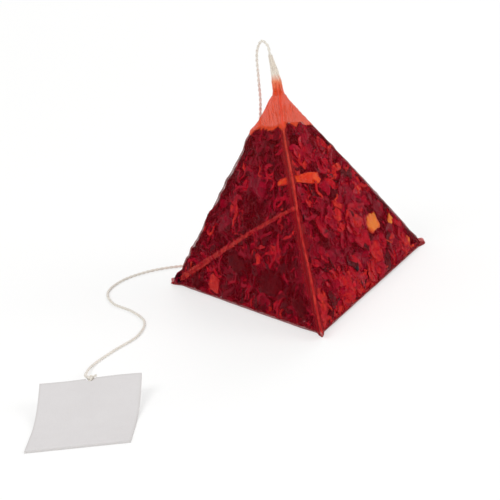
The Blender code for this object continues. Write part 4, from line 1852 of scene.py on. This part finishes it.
    def top_copies(self, rng: random.Random, kinds: Sequence[bpy.types.Mesh]) -> list[ShredCopy]:
        """Draw shreds that lie loosely on the fill's top, inside the pouch.

        Args:
            rng: the source of random numbers.
            kinds: the shreds to choose from.

        Returns:
            The shreds.
        """
        form = self.form
        copies = []
        reach = (form.altitude - form.fill_height) * 0.36
        while len(copies) < self.top_shreds:
            angle, away = rng.uniform(0.0, 2.0 * math.pi), reach * math.sqrt(rng.random())
            x, y = away * math.cos(angle), form.base_y + away * math.sin(angle)
            lift = 0.0020 * rng.random() * (1.0 - away / reach) - 0.0018
            place = Vector((x, y, form.fill_level(y) + lift))
            turn = Matrix.Rotation(rng.uniform(0.0, 2.0 * math.pi), 4, "Z")
            tilt = Matrix.Rotation(math.radians(rng.gauss(0.0, 25.0)), 4, "X")
            copies.append(ShredCopy(rng.choice(kinds), Matrix.Translation(place), turn @ tilt, 1.0,
                                    rng.uniform(0.1, 0.8)))
        return copies


@dataclass(frozen=True)
class FlakeForm:
    """How one sort of larger piece is shaped: its thickness, raggedness, wrinkles and cut."""

    thickness: float
    ragged: float
    wrinkle: float
    curl: float
    depth: float
    square: float


@dataclass
class LargePieces:
    """Peel, rosehip, petals and dark leaves that lie against the gauze from inside."""

    form: PouchForm
    columns: int = 18
    rows: int = 12
    margin: float = 0.00012
    forms: dict[Kind, FlakeForm] = field(default_factory=lambda: {
        Kind.PEEL: FlakeForm(0.00065, 0.36, 0.00012, 0.00020, 0.00055, 0.60),
        Kind.ZEST: FlakeForm(0.00060, 0.18, 0.00012, 0.00015, 0.00040, 0.70),
        Kind.ROSEHIP: FlakeForm(0.00050, 0.30, 0.00014, 0.00015, 0.00050, 0.70),
        Kind.PETAL: FlakeForm(0.00025, 0.50, 0.00050, 0.00070, 0.00075, 0.25),
        Kind.LEAF: FlakeForm(0.00040, 0.70, 0.00080, 0.00045, 0.00048, 0.20),
    })

    def build_flake(self, flake: Flake) -> Thing:
        """Model one piece from a grid, laid along the gauze.

        Args:
            flake: what the piece is and where it lies.

        Returns:
            The piece, with its map and its rim.
        """
        shape = self.forms[flake.kind]
        form = self.form
        deselect_all()
        bpy.ops.mesh.primitive_grid_add(x_subdivisions=self.columns, y_subdivisions=self.rows, size=2.0)
        thing = bpy.context.object
        thing.name = "soaked_" + flake.node
        thing.data.uv_layers[0].name = FABRIC_MAP
        rims = [max(abs(vert.co.x), abs(vert.co.y)) for vert in thing.data.vertices]
        way, over, out = form.face_axes(flake.face)
        centre = form.face_place(flake.face, flake.share, flake.along)
        turned = math.radians(flake.turn)
        seed = Vector((40.0 * flake.share, 17.0 * flake.along, 0.0))

        def settle(place: Vector) -> Vector:
            x, y = place.x, place.y
            round_share = (1.0 - shape.square) / 2.0
            x, y = x * math.sqrt(1.0 - round_share * y * y), y * math.sqrt(1.0 - round_share * x * x)
            reach = max(abs(x), abs(y))
            rough = (noise.noise(Vector((x * 1.9, y * 1.9, 0.0)) + seed)
                     + 0.5 * noise.noise(Vector((x * 4.6, y * 4.6, 5.0)) + seed))
            ragged = 1.0 + shape.ragged * rough * reach
            narrowed = 1.0 - 0.5 * (abs(flake.taper) - flake.taper * x)
            x *= ragged * flake.length / 2.0
            y *= ragged * narrowed * flake.width / 2.0
            flat = (centre + way * (x * math.cos(turned) - y * math.sin(turned))
                    + over * (x * math.sin(turned) + y * math.cos(turned)))
            wrinkle = shape.wrinkle * (0.35 - abs(noise.noise(Vector((x, y, 0.0)) / 0.0015 + seed))
                                       + 0.3 * noise.noise(Vector((x, y, 0.0)) / 0.0006 + seed))
            curl = shape.curl * reach ** 3
            return form.under_face(flake.face, flat, shape.depth + wrinkle + curl)

        move_vertices(thing, settle)
        store(thing, "rim", rims)
        store(thing, "shade", [0.10 * noise.noise(vert.co / 0.002) for vert in thing.data.vertices])
        finish_modifier(thing, "SOLIDIFY", thickness=shape.thickness, offset=-1.0)
        finish_modifier(thing, "SUBSURF", levels=1, render_levels=1)
        move_vertices(thing, lambda place: form.tuck(place, self.margin))
        outward(thing)
        smooth(thing, 60.0)
        return thing

    def build(self) -> None:
        """Build every larger piece and fix it to the part."""
        zest = PeelFinish(tone(250, 92, 30), tone(236, 62, 28), tone(200, 32, 32))
        petal = FleshFinish(tone(148, 8, 42), tone(96, 4, 30), tone(60, 2, 20), LeafFinish.gloss, 0.08)
        rosehip = FleshFinish(tone(230, 62, 42), tone(190, 28, 34), tone(140, 14, 28), LeafFinish.gloss, 0.25)
        shades = ((0.0, tone(4, 0, 6)), (0.5, tone(26, 0, 12)), (1.0, tone(60, 1, 18)))
        black = LeafFinish(shades, roughness=0.6)
        looks = {
            Kind.PEEL: (PeelFinish().make("wet_orange_peel"), "orange_peel"),
            Kind.ZEST: (zest.make("wet_orange_zest"), "orange_peel"),
            Kind.ROSEHIP: (rosehip.make("wet_rosehip"), "rosehip"),
            Kind.PETAL: (petal.make("wet_hibiscus"), "petal"),
            Kind.LEAF: (black.make("wet_dark_leaf"), "dark_leaf"),
        }
        for flake in FLAKES:
            seat(self.build_flake(flake), *looks[flake.kind], flake.node)


# Thread, knot and tag

ROUTE = (
    (-0.0018, 0.0101, 0.0529),
    (-0.0030, 0.0112, 0.0503),
    (-0.0034, 0.0114, 0.0450),
    (-0.0038, 0.0118, 0.0390),
    (-0.0052, 0.0134, 0.0320),
    (-0.0085, 0.0176, 0.0220),
    (-0.0116, 0.0213, 0.0120),
    (-0.0138, 0.0238, 0.0052),
    (-0.0150, 0.0256, 0.0021),
    (-0.0164, 0.0279, 0.0012),
    (-0.0186, 0.0304, 0.0003),
    (-0.0240, 0.0334, 0.0003),
    (-0.0310, 0.0338, 0.0003),
    (-0.0375, 0.0306, 0.0003),
    (-0.0412, 0.0240, 0.0003),
    (-0.0404, 0.0160, 0.0003),
    (-0.0366, 0.0088, 0.0003),
    (-0.0344, 0.0010, 0.0003),
    (-0.0362, -0.0070, 0.0003),
    (-0.0412, -0.0134, 0.0003),
    (-0.0456, -0.0200, 0.0004),
    (-0.0472, -0.0270, 0.0012),
    (-0.0467, -0.0330, 0.0028),
)


@dataclass
class CardTag:
    """The blank card tag, lying on its lower part, its top edge curled up off the floor."""

    finish: CardFinish = field(default_factory=CardFinish)
    width: float = 0.020
    length: float = 0.024
    thickness: float = 0.0004
    curl: float = 0.0042
    flat_share: float = 0.35
    turn: float = math.radians(-9.0)
    top: Vector = field(default_factory=lambda: Vector((-0.0460, -0.0385, 0.0)))
    notch_radius: float = 0.00084
    worn_edge: float = 0.0004
    bevel: float = 0.00006
    cockle: float = 0.00012
    columns: int = 40
    rows: int = 48

    def place(self, across: float, down: float) -> Vector:
        """Place on the tag's underside.

        Args:
            across: way across from the tag's middle.
            down: way down from its top edge.

        Returns:
            The place.
        """
        flat = self.length * self.flat_share
        lifted = max(self.length - flat - down, 0.0) / (self.length - flat)
        turned = Matrix.Rotation(self.turn, 3, "Z") @ Vector((across, -down, 0.0))
        return self.top + turned + Vector((0.0, 0.0, self.curl * lifted ** 2))

    @property
    def knot_place(self) -> Vector:
        """Middle of the knot, in the notch of the tag's top edge."""
        return self.place(0.0, 0.0) + Vector((0.0, 0.0, self.thickness / 2.0))

    def build(self) -> Thing:
        """Build the tag and fix it to the part.

        Returns:
            The finished tag.
        """
        deselect_all()
        bpy.ops.mesh.primitive_grid_add(x_subdivisions=self.columns, y_subdivisions=self.rows, size=1.0)
        tag = bpy.context.object
        tag.name = "blank_tag"
        tag.data.uv_layers[0].name = FABRIC_MAP

        def settle(flat: Vector) -> Vector:
            across, down = flat.x * self.width, (0.5 - flat.y) * self.length
            place = self.place(across, down)
            lifted = soft_step(self.length - down, 0.008, self.length)
            wave = noise.noise(Vector((across, down, 0.0)) / 0.009) + 0.6 * math.sin(across / 0.0042)
            place.z += self.cockle * lifted * wave
            return place

        rims = []
        for vert in tag.data.vertices:
            near = min(0.5 - abs(vert.co.x), (0.5 - abs(vert.co.y)) * self.length / self.width)
            rims.append(1.0 - soft_step(near * self.width, 0.0, self.worn_edge))
        store(tag, "rim", rims)
        move_vertices(tag, settle)
        finish_modifier(tag, "SOLIDIFY", thickness=self.thickness, offset=1.0)
        self.cut_notch(tag)
        finish_modifier(tag, "BEVEL", width=self.bevel, segments=2, limit_method="ANGLE",
                        angle_limit=math.radians(50.0))
        smooth(tag, 40.0)
        seat(tag, self.finish.make("plain_card"), "card", "card_tag")
        return tag

    def cut_notch(self, tag: Thing) -> None:
        """Cut the notch that the knot sits in."""
        deselect_all()
        bpy.ops.mesh.primitive_cylinder_add(vertices=32, radius=self.notch_radius, depth=0.01,
                                            location=self.knot_place)
        cutter = bpy.context.object
        finish_modifier(tag, "BOOLEAN", operation="DIFFERENCE", solver="EXACT", object=cutter)
        bpy.data.objects.remove(cutter)


@dataclass
class Thread:
    """The twisted cotton thread, down the back of the pouch and round to the tag, and its knot."""

    form: PouchForm
    tag: CardTag
    finish: CottonFinish = field(default_factory=CottonFinish)
    diameter: float = 0.0006
    length: float = 0.160
    rise: float = 0.0018
    clearance: float = 0.0003
    floor_lift: float = 0.00003
    inside: float = 0.0040
    step: float = 0.00018
    twist_pitch: float = 0.0021
    sides: int = 14
    route_steps: int = 40
    wet_top: float = 0.048
    wet_fade: float = 0.012
    dry_reach: tuple[float, float] = (0.012, 0.034)
    wet_share: float = 0.85
    knot_scale: float = 0.00020
    knot_strand: float = 0.00026
    knot_points: int = 150

    def own_points(self) -> list[Vector]:
        """Points that the thread's line passes through.

        Returns:
            The points, from inside the tail to the knot.
        """
        start = self.form.tail_tip + self.form.tail_axis * self.clearance
        points = [start - self.form.tail_axis * self.inside, start, start + self.form.tail_axis * self.rise]
        points += [Vector(point) for point in ROUTE]
        points.append(self.tag.knot_place)
        return points

    def smooth_route(self, points: Sequence[Vector]) -> list[Vector]:
        """Draw a smooth curve through points.

        Args:
            points: the points that it passes through.

        Returns:
            Evenly spaced points of the curve, none of them under the floor.
        """
        ends = [2.0 * points[0] - points[1], *points, 2.0 * points[-1] - points[-2]]
        fine = []
        for before, start, end, after in zip(ends, ends[1:], ends[2:], ends[3:]):
            for part in evenly(0.0, 1.0, self.route_steps):
                square, cube = part * part, part ** 3
                fine.append(0.5 * (2.0 * start + (end - before) * part
                                   + (2.0 * before - 5.0 * start + 4.0 * end - after) * square
                                   + (3.0 * start - before - 3.0 * end + after) * cube))
        fine.append(points[-1].copy())
        for point in fine:
            point.z = max(point.z, self.floor_lift + self.diameter / 2.0)
        return self.even(fine)

    def even(self, fine: Sequence[Vector]) -> list[Vector]:
        """Space the points of a line evenly.

        Args:
            fine: the line's points.

        Returns:
            The same line with its points at even steps.
        """
        total = sum((second - first).length for first, second in zip(fine, fine[1:]))
        count = round(total / self.step)
        points, gone = [fine[0]], 0.0
        for first, second in zip(fine, fine[1:]):
            piece = (second - first).length
            while len(points) < count and gone + piece >= total * len(points) / count:
                points.append(first.lerp(second, (total * len(points) / count - gone) / piece))
            gone += piece
        points.append(fine[-1])
        return points

    def ply_radius(self, angle: float, radius: float) -> float:
        """Outline of two plies that lie side by side."""
        ply, offset = 0.60 * radius, 0.40 * radius
        return offset * abs(math.cos(angle)) + math.sqrt(ply ** 2 - (offset * math.sin(angle)) ** 2)

    def tube(self, name: str, line: Sequence[Vector], radius: float, closed: bool = False) -> Thing:
        """Sweep the twisted thread along a line.

        Args:
            name: the piece's name.
            line: evenly spaced points.
            radius: the thread's radius.
            closed: whether the line's end meets its start.

        Returns:
            The swept piece.
        """
        count = len(line)
        points = []
        over = (line[1] - line[0]).orthogonal().normalized()
        gone = 0.0
        for index, point in enumerate(line):
            before = line[index - 1] if index or closed else line[0]
            after = line[(index + 1) % count] if index + 1 < count or closed else line[-1]
            way = (after - before).normalized()
            over = (over - way * over.dot(way)).normalized()
            side = way.cross(over)
            gone += (point - line[index - 1]).length if index else 0.0
            turn = 2.0 * math.pi * gone / self.twist_pitch
            for corner in range(self.sides):
                angle = 2.0 * math.pi * corner / self.sides
                out = self.ply_radius(angle - turn, radius)
                points.append(point + (over * math.cos(angle) + side * math.sin(angle)) * out)
        faces = band_faces(count, self.sides, closed)
        if not closed:
            faces.append(tuple(reversed(range(self.sides))))
            faces.append(tuple(range((count - 1) * self.sides, count * self.sides)))
        thing = mesh_object(name, points, faces)
        layer = thing.data.uv_layers.new(name=FABRIC_MAP)
        for face in thing.data.polygons:
            for loop, index in zip(face.loop_indices, face.vertices):
                layer.data[loop].uv = (index // self.sides / count, index % self.sides / self.sides)
        return thing

    def build_thread(self) -> tuple[Thing, list[Vector]]:
        """Build the thread itself.

        Returns:
            The thread, and the line that it follows.
        """
        line = self.smooth_route(self.own_points())
        thread = self.tube("cotton_thread", line, self.diameter / 2.0)
        tinge = []
        for point in line:
            wet = soft_step(self.wet_top - point.z, 0.0, self.wet_fade)
            wet *= 1.0 - soft_step(-point.x, *self.dry_reach)
            tinge += [self.wet_share * wet] * self.sides
        store(thread, "tinge", tinge)
        smooth(thread, 80.0)
        return thread, line

    def build_knot(self) -> Thing:
        """Build the knot: an overhand knot drawn tight, and the thread's short free end.

        Returns:
            The knot.
        """
        middle = self.tag.knot_place
        scale = self.knot_scale
        line = []
        for index in range(self.knot_points):
            t = 2.0 * math.pi * index / self.knot_points
            line.append(middle + Vector((
                scale * (math.sin(t) + 2.0 * math.sin(2.0 * t)),
                scale * (math.cos(t) - 2.0 * math.cos(2.0 * t)),
                -1.5 * scale * math.sin(3.0 * t))))
        knot = self.tube("tied_knot", line, self.knot_strand, closed=True)
        start = middle + Vector((0.0002, -0.0002, 0.0002))
        end = self.even([start + Vector((0.0011 * part, -0.0004 * part, 0.0008 * part - 0.0003 * part ** 2))
                         for part in evenly(0.0, 1.05, 12)])
        stub = self.tube("free_end", end, self.knot_strand)
        pick(knot)
        stub.select_set(True)
        bpy.ops.object.join()
        store(knot, "tinge", [0.0] * len(knot.data.vertices))
        smooth(knot, 80.0)
        return knot

    def build(self) -> None:
        """Build the thread and its knot, and fix them to the part."""
        material = self.finish.make("cotton")
        thread, line = self.build_thread()
        seat(thread, material, "thread", "thread")
        knot = seat(self.build_knot(), material, "thread", "thread_knot")
        [tuple(point) for point in line]


# Studio

@dataclass
class Studio:
    """Camera, lamps and a plain pale floor."""

    azimuth: float = -2.0
    elevation: float = 18.0
    roll: float = -8.5
    distance: float = 0.56
    lens: float = 200.0
    target: Vector = field(default_factory=lambda: Vector((-0.0110, -0.0080, 0.0150)))
    floor_size: float = 3.0
    floor_tone: Colour = tone(250, 250, 249)
    background: float = 0.60

    def set_camera(self) -> None:
        """Place the camera at the photographed angle, tilted as the pouch is there."""
        turn, rise = math.radians(self.azimuth), math.radians(self.elevation)
        back = Vector((math.sin(turn) * math.cos(rise), -math.cos(turn) * math.cos(rise), math.sin(rise)))
        data = bpy.data.cameras.new("camera")
        data.lens = self.lens
        data.clip_start, data.clip_end = 0.01, 20.0
        camera = bpy.data.objects.new("camera", data)
        camera.location = self.target + back * self.distance
        camera.rotation_mode = "QUATERNION"
        level = (-back).to_track_quat("-Z", "Y")
        camera.rotation_quaternion = level @ Quaternion((0.0, 0.0, 1.0), math.radians(self.roll))
        bpy.context.scene.collection.objects.link(camera)
        bpy.context.scene.camera = camera

    def add_lamp(self, name: str, place: Vector, size: float, power: float) -> None:
        """Add a soft square lamp that points at the object.

        Args:
            name: the lamp's name.
            place: where it hangs.
            size: length of its sides.
            power: its power in watts.
        """
        data = bpy.data.lights.new(name, "AREA")
        data.shape = "SQUARE"
        data.size = size
        data.energy = power
        lamp = bpy.data.objects.new(name, data)
        lamp.location = place
        lamp.rotation_mode = "QUATERNION"
        lamp.rotation_quaternion = (self.target - place).to_track_quat("-Z", "Y")
        bpy.context.scene.collection.objects.link(lamp)

    def light(self) -> None:
        """Set the room's light and the lamps."""
        world = bpy.data.worlds.new("soft_room")
        world.use_nodes = True
        tree = world.node_tree
        paint = tree.nodes["Background"]
        paint.inputs["Color"].default_value = (1.0, 1.0, 1.0, 1.0)
        path = tree.nodes.new("ShaderNodeLightPath")
        strength = tree.nodes.new("ShaderNodeMapRange")
        strength.inputs[3].default_value = self.background
        strength.inputs[4].default_value = 1.0
        tree.links.new(path.outputs["Is Camera Ray"], strength.inputs[0])
        tree.links.new(strength.outputs[0], paint.inputs["Strength"])
        bpy.context.scene.world = world
        self.add_lamp("key", Vector((-0.55, -0.65, 0.85)), 0.5, 5.0)
        self.add_lamp("fill", Vector((0.80, -0.45, 0.50)), 0.6, 3.2)
        self.add_lamp("back", Vector((0.30, 0.90, 0.60)), 0.5, 3.0)

    def lay_floor(self) -> None:
        """Lay the pale floor, lightened for the eye so that it keeps the shadow and stays near white."""
        deselect_all()
        bpy.ops.mesh.primitive_plane_add(size=self.floor_size, location=(0.0, 0.0, 0.0))
        floor = bpy.context.object
        floor.name = "floor"
        recipe = Recipe("pale_floor")
        recipe.constant(Base_Color=(*self.floor_tone, 1.0), Roughness=0.9, Specular_IOR_Level=0.1)
        glow = recipe.node("ShaderNodeEmission")
        glow.inputs["Strength"].default_value = 1.0
        mixed = recipe.node("ShaderNodeMixShader")
        path = recipe.node("ShaderNodeLightPath")
        seen = recipe.math("MAXIMUM", path.outputs["Is Camera Ray"], path.outputs["Is Glossy Ray"])
        seen = recipe.math("MAXIMUM", seen, path.outputs["Is Transmission Ray"])
        recipe.put(mixed.inputs[0], recipe.math("MULTIPLY", seen, 0.5))
        recipe.put(mixed.inputs[1], recipe.shader.outputs[0])
        recipe.put(mixed.inputs[2], glow.outputs[0])
        output = recipe.tree.nodes["Material Output"]
        recipe.put(output.inputs["Surface"], mixed.outputs[0])
        floor.data.materials.append(recipe.material)

    def build(self) -> None:
        """Set the camera, the light and the floor."""
        self.set_camera()
        self.light()
        self.lay_floor()
        bpy.context.scene.view_settings.view_transform = "Standard"


def main() -> None:
    """Dress the whole tea bag."""
    logging.basicConfig(level=logging.INFO, format="%(name)s: %(message)s")
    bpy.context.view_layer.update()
    Studio().build()
    form = PouchForm.from_frame()
    tag = CardTag()
    tag.build()
    Thread(form, tag).build()
    GauzePouch(form).build()
    LeafFill(form).build()
    LargePieces(form).build()


if __name__ == "__main__":
    main()
